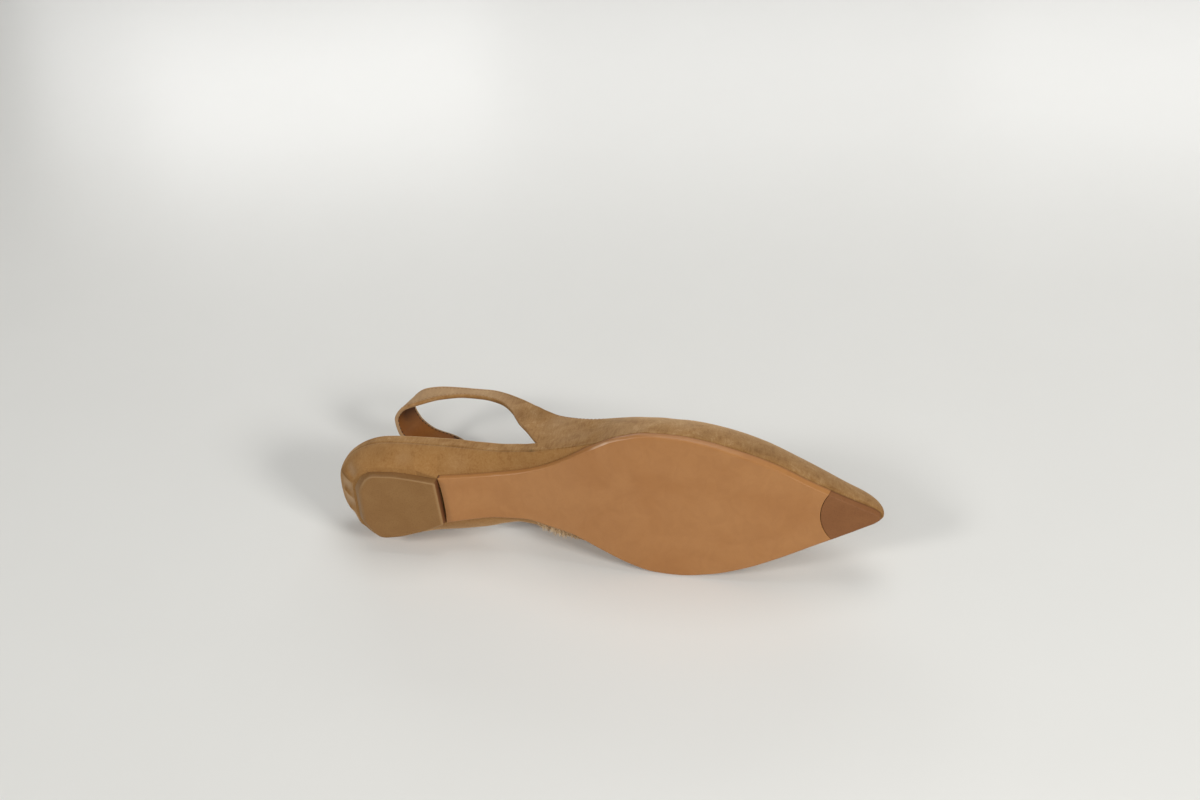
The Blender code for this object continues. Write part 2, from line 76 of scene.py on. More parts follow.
# Sizes of the solids, millimetres
GAP = 0.3
THIN = 0.05  # least gap or lip of the finish
WALL = 1.9
SOLE_THICKNESS = 2.8
INSOLE_THICKNESS = 3
SEAT_BACK = -1.6
LIFT_HEIGHT = 5
LIFT_BACK = 14
LIFT_BACK_SLOPE = 3.6
LIFT_LEAN_END = 30
LIFT_BREAST = 53.7
SOLE_START = 54.1
BREAST_HOLLOW = 0.8
BREAST_RADIUS = 100
WRAP_BACK_LIP = 1
WRAP_LEDGE = Change(0.8, 4.2, 0, 1)
WRAP_TURN = 40
WRAP_ON_SOLE_INSET = 0.2
WRAP_END = 124
QUARTER_CORNER = 100
QUARTER_FOOT = 103
RIM_END = 98.5
FOOTBED_EVEN = 158
SOLE_TOE = 263
UPPER_TOE = 264
INSOLE_TOE = 257
INSOLE_TIP_HALF = 0.8
INSOLE_TIP_ROUND = 3
INSOLE_FIT = Change(0.6, 1.5, 200, INSOLE_TOE)
TIP_ARC_RADIUS = 18.8
TIP_ARC_BACK = 236
TIP_ARC_CENTRE_Y = 3.8
LIFT_TREAD = Vector((33, 3.5, 0))  # the record's two treads, in the shoe frame
FOREFOOT_TREAD = Vector((172, 0, 0))

# Sizes of the finish, millimetres
SUEDE_SKIN = 1.15  # suede of the upper, the rest of its wall is lining
TURN_IN = 1.1  # the suede is folded round the edges of strap and topline
FOOT_ROUND = 0.3  # and only eased where it meets the sole
FOOT_DROP = 0.26  # the suede closes the gap above the sole
SOCK_INSET = 2.2  # the sock lining lies in a recess of the footbed
SOCK_DEPTH = 0.7
SOLE_EDGE_RISE = 2.4  # height of the outsole's rounded lower edge
SOLE_EDGE_MEDIAL = 0.8  # and its width on the medial side
SOLE_FLARE = 1.2  # its wall leans out to meet the suede
SOLE_FLARE_X = 118, 134
BREAST_SKEW = 0.055  # the heel breast runs forward towards the medial side
BREAST_REACH = 14
BREAST_CLOSE = 0.3  # and the sole's back edge lies closer to the lift
SEAM_GROOVE = Change(0.3, 0.06, QUARTER_CORNER, QUARTER_CORNER + 6.4)  # the wrap is drawn in at its seam
SEAM_CLOSE = 0.2  # and up towards the rim
LIP_END = 131.5  # the wrap's lip thins out under the upper
JOINT = 0.1  # joint of the toe insert
JOINT_EASE = 0.12  # share of the sole's rounding along it
RIM_TUCK = 5  # the rim runs on over the quarter's corner and sinks in behind
RIM_OUT = Change(0, -0.35, RIM_END - 3, RIM_END)
RIM_IN = Change(0, 0.7, RIM_END + 2.4, RIM_END + 6.8)
STITCH_PITCH = 2.1

Edge = namedtuple("Edge", "x lateral medial")
Level = namedtuple("Level", "x bottom")
Round = namedtuple("Round", "x width")
Seat = namedtuple("Seat", "x seam rim")
Top = namedtuple("Top", "x y z")
Band = namedtuple("Band", "low_x low_y low_z top_x top_y top_z")
Wall = namedtuple("Wall", "along lateral medial fullness bulge")
Layer = namedtuple("Layer", "inset rise")
Bowl = namedtuple("Bowl", "rise spread")
Bevel = namedtuple("Bevel", "inset rise shade")
Patch = namedtuple("Patch", "x y z radius shade")
Crease = namedtuple("Crease", "x1 y1 z1 x2 y2 z2 depth width")


def table(kind, *rows):
    return [kind(*row) for row in rows]


SOLE_PLAN = table(
    Edge, (54, -10.4, 15.5), (66, -10.9, 13.9), (80, -12.1, 12.5), (94, -14.4, 12.5), (106, -18, 15.4),
    (118, -23.6, 18.9), (130, -29.9, 25.2), (144, -36.3, 32.4), (157, -38.7, 36.8), (170, -37.9, 38.1),
    (184, -35, 36.9), (200, -29.6, 32.8), (216, -22.4, 26.9), (232, -12.7, 20.2), (246, -4.7, 14.6),
    (256, 0.7, 10.5), (266, 6, 6.4),
)
FEATHER_PLAN = table(
    Edge, (-2, -19.8, 22.6), (30, -21.5, 27.7), (55, -20.7, 26.3), (72, -20.1, 23.6), (82, -20.3, 20.4),
    (90, -21.2, 18.6), (100, -22.6, 19.4), (112, -25.4, 22.4), (122, -28.2, 24.2), (132, -31.6, 26.9),
    (144, -36.6, 31.8), (157, -39, 36), (170, -38.3, 37.3), (184, -35.6, 36.4), (200, -30.5, 33.5),
    (216, -23.6, 28), (232, -14.2, 21.6), (246, -6.3, 16.1), (256, -0.9, 12.1), (268, 5.6, 7.2),
)
LIFT_PLAN = table(
    Edge, (LIFT_BACK, -8.4, 17.6), (18, -11.9, 20.5), (23, -13, 22.2), (30, -13, 21.5),
    (40, -12, 19), (47.7, -10.8, 16.2), (54, -9.7, 13.4),
)
# Bevel of the lift's tread edge: inset, rise and shade; the pale bevel is a painted highlight, the wall is
# darker and redder
LIFT_EDGE = table(
    Bevel, (1.5, 0, -0.02), (1.4, 0.01, -0.08), (0.9, 0.14, -0.3), (0.4, 0.36, -0.38),
    (0.05, 0.62, -0.2), (0, 0.8, 0.2), (0, 4.75, 0.34), (0.2, LIFT_HEIGHT, 0.6),
)
# Painted reflection of the floor, paler on the lift's back
LIFT_BACK_PAINTED_REFLECTION = -0.26
LIFT_SIDE_BEVEL = 0.35  # share of the bevel that the sides have
RIM_EDGE = table(Layer, (0.3, 0), (0, 0.15), (0, 0.75), (0.4, 0.93), (1.4, 1))
WRAP_BOWL = table(Bowl, (0, 0), (0.1, 0.2), (0.3, 0.5), (0.55, 0.77), (0.8, 0.94), (1, 1))
SOLE_BOTTOM = table(
    Level, (54, 4.5), (66, 5.5), (80, 6), (92, 5.6), (104, 4.5), (118, 2.9), (132, 1.4), (144, 0.4),
    (152, 0), (196, 0), (210, 0.5), (225, 1.5), (240, 2.9), (252, 4.2), (268, 6.2),
)
SOLE_EDGE = table(
    Round, (54, 0.7), (66, 0.9), (116, 0.9), (140, 0.8), (185, 0.65), (212, 0.3), (263, 0.25),
)
SEAT_PROFILE = table(
    Seat, (-2, 18.6, 24.8), (30, 18.6, 26.3), (55, 17.8, 26.2), (72, 16.2, 24.5), (82, 14.6, 23),
    (100, 11.4, 19.6), (112, 8.9, 15.6), (122, 6.7, 12.2), (132, 4.4, 9.2), (145, 3.2, 7.2),
    (158, 2.8, 6.3),
)
TOPLINE = table(
    Top, (94, -24, 52.8), (100, -25, 46.8), (107, -26.2, 40.4), (115, -27.8, 35.4),
    (124, -29.2, 31.6), (136, -30.2, 29.6), (148, -30, 30.4), (158, -28, 32.8), (168, -23.6, 36.2),
    (176.6, -16.4, 39.9), (182.8, -8.8, 42.8), (185.2, -2.6, 43.9), (185.5, 0.8, 44),
)
STRAP = table(
    Band, (101, -23.4, 17.6, 92, -23.6, 54.5), (95.4, -23.5, 26, 87, -22.8, 59.5),
    (86.5, -22, 39.6, 80, -21.6, 66), (78.9, -21, 53.8, 72, -20.4, 72.4),
    (71, -20.2, 63.2, 64, -19.8, 76.4), (60, -19.6, 68.8, 55, -19.6, 78),
    (49, -19.5, 70.1, 46, -19.9, 78.8), (38, -18.8, 69, 36, -19.6, 80),
    (26, -15.9, 67.9, 27.5, -18.4, 80.2), (15.6, -12.2, 67.5, 21.8, -14.8, 80.4),
    (11.4, -5.4, 67.4, 18.6, -8.4, 80.4), (12.7, 2.4, 67, 21, -1.2, 80.3),
    (20.8, 9.2, 67, 28.8, 7, 80.3), (35, 13, 66.6, 39.2, 11, 79.8),
    (50, 17, 64.4, 51, 16.2, 75.8), (64, 21, 59.5, 62, 20.4, 72.6), (77, 23.6, 50.5, 73, 23.4, 67.6),
    (88, 23.4, 37.6, 82, 24.2, 61.8), (96, 22, 26, 88.5, 23.6, 57),
    (101, 21, 17.6, 92.5, 22.8, 54),
)
WALL_FORM = table(
    Wall, (0, 0, 0, 2, 0), (0.15, 0.5, 0.4, 2, 0), (0.34, 0.82, 0.56, 2.2, 0.2),
    (0.6, 0.74, 0.66, 3.8, 1.6), (0.8, 0.62, 0.6, 5.6, 1.9), (0.94, 0.48, 0.48, 8.4, 1.3),
    (1, 0.47, 0.47, 8.6, 1.25),
)
QUARTER_EASE = 0.2
THROAT_GATHER = 1.5
TOE_GATHER = 1.25
RIDGE_EASE = 0.1
RIDGE_REACH = 0.3

# Soft troughs, and ridges with a negative depth: of the upper, then of the wrap's gathered back
CREASES = table(
    Crease, (104, -25, 24, 96, -24, 46, 0.35, 4), (112, -28, 18, 126, -32, 27, 0.3, 4.5),
    (128, -33, 12, 150, -37, 22, -0.3, 5), (152, -38, 8, 168, -34, 26, 0.3, 3.6),
    (104, 23, 24, 96, 24, 46, 0.35, 4), (152, 36, 8, 168, 33, 26, 0.3, 3.6),
)
HEEL_FOLDS = table(
    Crease, (6.4, -12.6, 11, 11.4, -10.2, 5.3, -0.5, 2.4), (1.6, -8.6, 13.4, 9.2, -6.6, 5.3, 1, 1.5),
    (2.4, -3.6, 11, 10.4, -4.2, 5.2, -0.8, 2.5), (4, -0.2, 9.6, 9, 2.2, 5.3, 0.9, 1.6),
    (3.2, 5, 10.4, 9.2, 5, 5.3, -0.7, 2), (5.4, 9.4, 9, 9.8, 8.8, 5.3, 0.6, 1.5),
    (4.6, 13.8, 10.6, 10.4, 13, 5.3, -0.5, 2.2), (7.6, 18.6, 10.4, 13.2, 17.4, 5.3, 0.6, 1.8),
)

# Patches where the nap is darker, or paler with a negative shade. Of these, the pale one low on the heel's
# back (7, 3, 7) is painted light, the pale one on the wrap's medial side (108, 19, 7) is paler frayed suede
# with painted light against the shadow under the sole, and the dark one at the rim's end (99.5, -22.8, 12)
# is painted shade in its notch. Then the painted highlight on the sole's edge, and painted shade at the
# strap's inner end
NAP_AND_PAINTED_LIGHT_PATCHES = table(
    Patch, (93, -24, 48, 6, 0.22), (97, -24, 42, 5, 0.16), (104, -25, 20, 6, 0.06),
    (128, -31, 24, 5, 0.14), (131, -32, 12, 4, 0.1), (161, -38, 9, 4, 0.12), (166, -38, 7, 3, 0.12),
    (184, -36, 6, 5, 0.16), (206, -29, 7, 6, 0.14), (214, -25, 10, 5, 0.12), (110, -26, 36, 6, -0.12),
    (145, -36, 22, 6, -0.12), (176, -36, 14, 6, -0.1), (240, -10, 12, 6, 0.1), (24, -20, 11, 4, 0.12),
    (22, -20, 15, 4, 0.1), (3, -12, 12, 5, 0.1), (36, -19, 9, 4, -0.08), (62, -16, 10, 6, -0.06),
    (94, -19, 10, 5, 0.1), (99.5, -22.8, 12, 1.3, 0.5), (7, 3, 7, 8, -0.3), (108, 19, 7, 9, -0.5),
)
# Painted highlight on the sole's lateral edge, at the ball and along the waist
EDGE_HIGHLIGHT_PATCHES = table(
    Patch, (133, -31.2, 2, 3, 0.5), (137.5, -33.6, 1.5, 3, 0.7), (143, -36, 1, 4, 0.35),
    (150, -37.8, 0.5, 4, 0.2), (62, -10.5, 6, 5, 0.12), (72, -11, 6.5, 5, 0.16), (82, -12, 6.5, 4, 0.24),
)
STRAP_END_PAINTED_SHADE = Patch(40.5, 10.4, 77.4, 2, 0.8)
# The vamp's suede, paler behind and darker in front
VAMP_TONE_X = [90, 110, 150, 185, 205, 264]
VAMP_TONE_SHADE = [0, -0.1, -0.12, 0.04, 0.13, 0.14]

# Photograph's camera, in the shoe frame
CAMERA_PLACE = Vector((295.1, -418.6, -645))
CAMERA_FORWARD = Vector((-0.2075, 0.4779, 0.8535))
CAMERA_UP = Vector((-0.0158, -0.8741, 0.4856))
CAMERA_LENS = 50
CAMERA_SENSOR = 36


def shoe_frame():
    """Matrix from the shoe frame to the record's, from the two treads."""
    mounts = {mount["name"]: mount for mount in frame["record"]["mounts"]}
    lift = Vector(mounts["lift_tread"]["pos_m"])
    up = -Vector(mounts["lift_tread"]["axis"]).normalized()
    run = Vector(mounts["forefoot_tread"]["pos_m"]) - lift
    run = (run - up * run.dot(up)).normalized()
    between = FOREFOOT_TREAD - LIFT_TREAD
    angle = math.atan2(between.y, between.x)
    along = run * math.cos(angle) - up.cross(run) * math.sin(angle)
    turn = Matrix((along, up.cross(along), up)).transposed()
    return Matrix.Translation(lift - turn @ LIFT_TREAD * MM) @ turn.to_4x4()


SHOE = shoe_frame()


def column(rows, name):
    return np.array([getattr(row, name) for row in rows], dtype=float)


def curve(xs, ys):
    """Smooth curve through the points that never overshoots them (monotone cubic)."""
    step = np.diff(xs)
    slope = np.diff(ys) / step
    tangent = np.zeros(len(xs))
    for i in range(1, len(xs) - 1):
        if slope[i - 1] * slope[i] > 0:
            near = 2 * step[i] + step[i - 1]
            far = step[i] + 2 * step[i - 1]
            tangent[i] = (near + far) / (near / slope[i - 1] + far / slope[i])
    tangent[0], tangent[-1] = slope[0], slope[-1]

    def value(x):
        x = np.clip(np.asarray(x, dtype=float), xs[0], xs[-1])
        i = np.clip(np.searchsorted(xs, x, side="right") - 1, 0, len(step) - 1)
        s = (x - xs[i]) / step[i]
        return ((1 + 2 * s) * (1 - s) ** 2 * ys[i] + s * (1 - s) ** 2 * step[i] * tangent[i]
                + s * s * (3 - 2 * s) * ys[i + 1] + s * s * (s - 1) * step[i] * tangent[i + 1])

    return value


def table_curve(rows, across, name):
    return curve(column(rows, across), column(rows, name))


sole_bottom = table_curve(SOLE_BOTTOM, "x", "bottom")
seam_height = table_curve(SEAT_PROFILE, "x", "seam")
rim_height = table_curve(SEAT_PROFILE, "x", "rim")
sole_edge_width = table_curve(SOLE_EDGE, "x", "width")
wrap_spread = table_curve(WRAP_BOWL, "rise", "spread")


def sole_top(x):
    return sole_bottom(x) + SOLE_THICKNESS


def foot_of_upper(x):
    """Height that the insole and the upper stand on: the wrap's seam, then the outsole."""
    return np.maximum(seam_height(x), sole_top(x)) + GAP


def middle_half(lateral, medial):
    """Middle line and half width between two edges."""
    return (lateral + medial) / 2, (medial - lateral) / 2


class Plan:
    """Lateral and medial edge of a flat piece, with its two ends rounded."""

    def __init__(self, rows, back, front, back_round=0, back_flat=0, front_round=0, front_flat=0):
        self.lateral = table_curve(rows, "x", "lateral")
        self.medial = table_curve(rows, "x", "medial")
        self.ends = (back, back_round, back_flat), (front, front_round, front_flat)

    def edges(self, x, inset=0.0):
        middle, half = middle_half(self.lateral(x), self.medial(x))
        half = half - inset
        for end, radius, flat in self.ends:
            if radius > 0:
                depth = np.clip(np.abs(x - end) / radius, 0, 1)
                half = lerp(flat, half, np.sqrt(1 - (1 - depth) ** 2))
        return np.array((middle - half, middle + half))


sole_plan = Plan(SOLE_PLAN, SOLE_START, SOLE_TOE, front_round=3.4, front_flat=0.5)
seat_plan = Plan(FEATHER_PLAN, SEAT_BACK, UPPER_TOE, back_round=25.0, back_flat=3.0,
                 front_round=4.6, front_flat=0.6)
lift_plan = Plan(LIFT_PLAN, LIFT_BACK, LIFT_BREAST, back_round=8.0, back_flat=7.8)


def stations(back, front, count, close=None):
    """Places from back to front, closer together at one rounded end."""
    share = np.linspace(0, 1, count)
    if close == "back":
        share = 1 - np.cos(np.pi / 2 * share)
    elif close == "front":
        share = np.sin(np.pi / 2 * share)
    return lerp(back, front, share)


def unit(vectors):
    return vectors / np.maximum(np.linalg.norm(vectors, axis=-1, keepdims=True), 1e-12)


def grid_faces(rows, columns, start=0, closed_rows=False, closed_columns=False):
    """Quads of a grid of points numbered row by row."""
    r = np.arange(rows if closed_rows else rows - 1)
    c = np.arange(columns if closed_columns else columns - 1)
    r, c = (axis.ravel() for axis in np.meshgrid(r, c, indexing="ij"))
    r_next, c_next = (r + 1) % rows, (c + 1) % columns
    corners = r * columns + c, r * columns + c_next, r_next * columns + c_next, r_next * columns + c
    return (np.column_stack(corners) + start).tolist()


def add_object(name, data):
    item = bpy.data.objects.new(name, data)
    bpy.context.scene.collection.objects.link(item)
    return item


def add_piece(name, points, faces, material, slot, *nodes, shade=None, sharp=42):
    """Mesh from points in the shoe frame. Shade darkens the material point by point."""
    mesh = bpy.data.meshes.new(name)
    turn, shift = np.array(SHOE.to_3x3()), np.array(SHOE.translation)
    mesh.from_pydata((np.reshape(points, (-1, 3)) * MM @ turn.T + shift).tolist(), [], faces)
    form = bmesh.new()
    form.from_mesh(mesh)
    bmesh.ops.recalc_face_normals(form, faces=form.faces)
    form.to_mesh(mesh)
    form.free()
    values = np.zeros(len(mesh.vertices)) if shade is None else np.ravel(shade)
    mesh.attributes.new("shade", "FLOAT", "POINT").data.foreach_set("value", values.astype(np.float32))
    mesh.materials.append(material)
    mesh.shade_smooth()
    mesh.set_sharp_from_angle(angle=math.radians(sharp))
    piece = add_object(name, mesh)
    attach(piece, "root")
    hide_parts(*nodes)


# Upper

VAMP_COLUMNS = 130  # on each side
STRAP_COLUMNS = 190
WALL_ROWS = 60
FOOT_STATIONS = 160
BAND_BLEND = 40  # columns from the flat strap to the vamp's wall
FOOT_BLEND = 3  # columns from the strap's round edge to the foot
RIDGE_STEPS = 21  # places that ease the vamp's ridge
LEVEL_FOOT = 0.1  # share of its height over which the wall leaves the level
ROW_CROWDING = 0.12  # rows lie closer together at the edges
TURN_IN_EASE = 0.3  # the turned-in suede thins out over this much
FOOT_DROP_REACH = 1.5
EDGE_STEPS = np.linspace(0, math.pi, 9)[1:-1]

# Painted shade along the suede's foot, painted sheen on the strap with painted shade on its lateral lower
# edge, the suede darker low on the quarters, and painted shade on the lining towards the top of its lateral
# side, with the places or heights between which they come in
FOOT_PAINTED_SHADE = Change(0, 0.36, 116, 132)
FOOT_PAINTED_SHADE_LEAST = 0.0288
FOOT_PAINTED_SHADE_HEIGHT = 0.45
STRAP_EDGE_PAINTED_SHADE_AND_SHEEN = Change(0.07, -0.38, -17, -10)
STRAP_FACE_PAINTED_SHEEN = -0.36
STRAP_FACE_HEIGHT = 1, 1.9
STRAP_SHADE_X = 90, 60
LOW_QUARTER_DARKENING = Change(0.12, 0, 130, 150)
LOW_QUARTER_DARKENING_HEIGHT = 4
EDGE_LINE = 0.03
EDGE_LINE_HEIGHT = 0.9
LINING_PAINTED_SHADE = Change(0.7, 0, -7, 5)
LINING_PAINTED_SHADE_Z = 64, 72

# Stitches along the edges of topline and strap, and the margin they keep
Stitches = namedtuple("Stitches", "name inside margin length thickness")
EDGE_STITCHES = table(
    Stitches, ("edge_stitches_inside", True, 1.5, 1, 0.5), ("edge_stitches_outside", False, 2, 1.5, 0.34),
)
# Rings of a stitch: share of its length, then fullness and lift as shares of its thickness
STITCH_FORM = np.array([
    (0, 0.2, -0.19), (0.18, 0.8, -0.01), (0.5, 1, 0.05), (0.82, 0.8, -0.01), (1, 0.2, -0.19),
])
STITCH_SIDES = 6


def run_length(points):
    """Length along a line of points, from 0."""
    return np.concatenate(([0], np.cumsum(np.linalg.norm(np.diff(points, axis=0), axis=1))))


def path(points):
    """Smooth line through the points, as a function of the share of its length."""
    points = np.asarray(points, dtype=float)
    length = run_length(points)
    axes = [curve(length / length[-1], axis) for axis in points.T]
    return lambda share: np.stack([axis(share) for axis in axes], axis=-1)


def feather_line(side):
    """Foot of the upper from the quarter's corner to the toe, on one side."""
    x = stations(QUARTER_FOOT, UPPER_TOE, FOOT_STATIONS, "front")
    return np.column_stack((x, seat_plan.edges(x)[int(side == "medial")], foot_of_upper(x)))


def topline(side):
    """Topline from the quarter to the throat; the medial one is the lateral one mirrored."""
    rows = np.array(TOPLINE, dtype=float)
    if side == "medial":
        middle, _ = middle_half(seat_plan.lateral(rows[:, 0]), seat_plan.medial(rows[:, 0]))
        rows[:, 1] = 2 * middle - rows[:, 1]
        rows[-1, 1] = TOPLINE[-1].y
    return rows


def wall_form(name, t):
    return table_curve(WALL_FORM, "along", name)(t)


def side_wall(side, t, v):
    """Outer face of one side, t from the quarter's corner to the toe, v from the foot to the topline."""
    foot = path(feather_line(side))(t)
    top = path(topline(side))(1 - (1 - t) ** THROAT_GATHER)
    ease = np.minimum(1, t / QUARTER_EASE)
    inward = lerp(v, v ** 2, ease)
    dome = np.sqrt(1 - (1 - inward) ** wall_form("fullness", t))
    roundness = wall_form(side, t)
    upward = lerp(lerp(v, inward, ease), dome, roundness)
    reach = top - foot
    place = foot + inward[..., None] * reach
    place[..., 2] = foot[..., 2] + upward * reach[..., 2]
    swell = wall_form("bulge", t) * np.sin(np.pi * np.sqrt(v))
    place[..., :2] -= (swell / np.hypot(reach[..., 0], reach[..., 1]))[..., None] * reach[..., :2]
    return place


def vamp(s, v):
    """Outer face of vamp and quarters, s from the lateral corner, -1, by the toe to the medial, 1."""
    t = 1 - np.minimum(np.abs(s), 1)
    return np.where(s[..., None] < 0, side_wall("lateral", t, v), side_wall("medial", t, v))


def vamp_columns():
    """Columns of the vamp from medial to lateral corner, its ridge rounded off."""
    u = np.linspace(1, -1, 2 * VAMP_COLUMNS - 1)
    s, v = np.meshgrid(np.sign(u) * np.abs(u) ** TOE_GATHER, np.linspace(0, 1, WALL_ROWS), indexing="ij")
    blur = RIDGE_EASE * v * np.clip(1 - np.abs(s) / RIDGE_REACH, 0, 1)
    offsets = np.linspace(-1, 1, RIDGE_STEPS)
    weights = 1 - np.abs(offsets)
    eased = sum(weight * vamp(s + offset * blur, v) for offset, weight in zip(offsets, weights))
    return eased / weights.sum()


def strap_columns():
    """Columns of the strap from lateral to medial corner, low edge to top."""
    rows = np.array(STRAP, dtype=float)
    knots = np.arange(len(rows), dtype=float)
    place = np.linspace(0, len(rows) - 1, STRAP_COLUMNS)
    smooth = np.column_stack([curve(knots, values)(place) for values in rows.T])
    return lerp(smooth[:, None, :3], smooth[:, None, 3:], np.linspace(0, 1, WALL_ROWS)[None, :, None])


def relief(points, creases):
    """How far soft troughs press the points in, and ridges lift them out."""
    push = np.zeros(points.shape[:-1])
    for crease in creases:
        start, end = np.array(crease[:3]), np.array(crease[3:6])
        run = end - start
        share = np.clip((points - start) @ run / (run @ run), 0, 1)
        away = np.linalg.norm(points - start - share[..., None] * run, axis=-1)
        push -= crease.depth * bell(away, crease.width)
    return push


def patched(points, patches):
    """Shade of soft round patches."""
    shade = np.zeros(points.shape[:-1])
    for patch in patches:
        away = np.linalg.norm(points - np.array(patch[:3]), axis=-1)
        shade += patch.shade * bell(away, patch.radius)
    return shade


class Upper:
    """Outer face of the upper as a closed loop of columns."""

    def __init__(self):
        face = np.concatenate((strap_columns(), vamp_columns()))
        across = np.roll(face, -1, axis=0) - np.roll(face, 1, axis=0)
        normal = unit(np.cross(np.gradient(face, axis=1), across))
        flat = unit(np.repeat(normal[:, WALL_ROWS // 2:WALL_ROWS // 2 + 1], WALL_ROWS, axis=1))
        count = len(face)
        from_band = np.minimum(np.arange(count) - STRAP_COLUMNS, count - 1 - np.arange(count))
        self.band = np.clip(1 - from_band / BAND_BLEND, 0, 1)[:, None]
        self.foot = np.clip(from_band / FOOT_BLEND, 0, 1)[:, None]
        normal = unit(lerp(normal, flat, self.band[..., None]))
        normal[..., 2] *= ramp(np.linspace(0, 1, WALL_ROWS), 0, LEVEL_FOOT)
        self.normal = unit(normal)
        self.face = face + self.normal * relief(face, CREASES)[..., None]
        self.upward = unit(np.gradient(self.face, axis=1))
        self.length = np.linalg.norm(np.diff(self.face, axis=1), axis=2).sum(axis=1)[:, None]

    def at(self, values, v):
        """Values of the grid of columns at the shares v of each column's height."""
        place = np.clip(v, 0, 1) * (WALL_ROWS - 1)
        low = np.minimum(place.astype(int), WALL_ROWS - 2)
        share = (place - low)[..., None]
        rows = np.arange(len(self.face))[:, None]
        return values[rows, low] * (1 - share) + values[rows, low + 1] * share

    def layer(self, near, far, edge_far, set_back):
        """Closed skin between two depths under the outer face, deeper along its rounded edges."""
        radius = (edge_far - near) / 2
        low_round = lerp(radius, FOOT_ROUND, self.foot)
        low, high = (set_back + low_round) / self.length, 1 - (set_back + radius) / self.length
        even = np.linspace(0, 1, WALL_ROWS)
        rows = lerp(low, high, even - ROW_CROWDING * np.sin(2 * np.pi * even))
        from_edge = np.minimum(rows, 1 - rows) * self.length - set_back
        far_rows = lerp(edge_far, far, ramp(from_edge, TURN_IN, TURN_IN + TURN_IN_EASE))
        level, turn = np.zeros_like(rows), np.ones((len(rows), len(EDGE_STEPS)))
        v = np.hstack((rows, high * turn, rows[:, ::-1], low * turn))
        depth = np.hstack((level + near, turn * (near + radius * (1 - np.cos(EDGE_STEPS))),
                           far_rows[:, ::-1], turn * (near + radius * (1 + np.cos(EDGE_STEPS)))))
        rise = np.hstack((level, turn * radius * np.sin(EDGE_STEPS),
                          level, -low_round * np.sin(EDGE_STEPS)))
        rise = rise - FOOT_DROP * self.foot * bell(v * self.length, FOOT_DROP_REACH)
        points = self.at(self.face, v) - depth[..., None] * self.at(self.normal, v)
        return points + rise[..., None] * self.at(self.upward, v), v


def suede_shade(upper, points, v):
    """Painted shade at the foot, painted sheen on the strap and shade on its lower edge, tones, patches."""
    x, y, _ = np.moveaxis(points, -1, 0)
    height = v * upper.length
    on_strap = (np.arange(len(v)) < STRAP_COLUMNS)[:, None]
    # Painted shade where the suede meets the sole
    foot_shade = np.maximum(FOOT_PAINTED_SHADE.at(x), FOOT_PAINTED_SHADE_LEAST) * bell(height, FOOT_PAINTED_SHADE_HEIGHT) * upper.foot
    # Painted sheen on the strap's face, painted shade along its lateral lower edge
    strap = lerp(STRAP_EDGE_PAINTED_SHADE_AND_SHEEN.at(y), STRAP_FACE_PAINTED_SHEEN, ramp(height, *STRAP_FACE_HEIGHT))
    strap = strap * on_strap * ramp(x, *STRAP_SHADE_X)
    vamp_tone = np.interp(x, VAMP_TONE_X, VAMP_TONE_SHADE)
    low_darkening = LOW_QUARTER_DARKENING.at(x) * bell(height, LOW_QUARTER_DARKENING_HEIGHT) * ~on_strap
    edge_line = EDGE_LINE * bell(upper.length - height, EDGE_LINE_HEIGHT)
    return foot_shade + strap + vamp_tone + low_darkening + edge_line + patched(points, NAP_AND_PAINTED_LIGHT_PATCHES)


def make_upper(suede, lining, thread):
    """Suede skin, lining and edge stitching of vamp, quarters and strap."""
    upper = Upper()
    points, v = upper.layer(0.0, SUEDE_SKIN, WALL, 0.0)
    faces = grid_faces(*v.shape, closed_rows=True, closed_columns=True)
    add_piece("upper_suede", points, faces, suede, "suede", "upper", shade=suede_shade(upper, points, v))
    points, v = upper.layer(SUEDE_SKIN + THIN, WALL - THIN, WALL - THIN, TURN_IN + 2 * THIN)
    # Painted shade on the lining, towards the top of its lateral side
    deep = LINING_PAINTED_SHADE.at(points[..., 1]) * ramp(points[..., 2], *LINING_PAINTED_SHADE_Z)
    add_piece("upper_lining", points, faces, lining, "lining", "upper",
              shade=deep + patched(points, [STRAP_END_PAINTED_SHADE]))
    for kind in EDGE_STITCHES:
        make_stitches(kind, upper, thread)


def tube(centres, radii, first, second, sides):
    """Points round a line of centres, in rings that the two directions span."""
    angle = np.linspace(0, 2 * np.pi, sides, endpoint=False)[:, None]
    rim = np.cos(angle) * first + np.sin(angle) * second
    return (centres[:, None] + radii[..., None] * rim).reshape(-1, 3)


def tube_faces(count, levels, sides):
    """Walls and both ends of so many tubes, one after the other."""
    faces = []
    for base in range(0, count * levels * sides, levels * sides):
        faces += grid_faces(levels, sides, base, closed_columns=True)
        faces += [[end + k for k in range(sides)] for end in (base, base + (levels - 1) * sides)]
    return faces


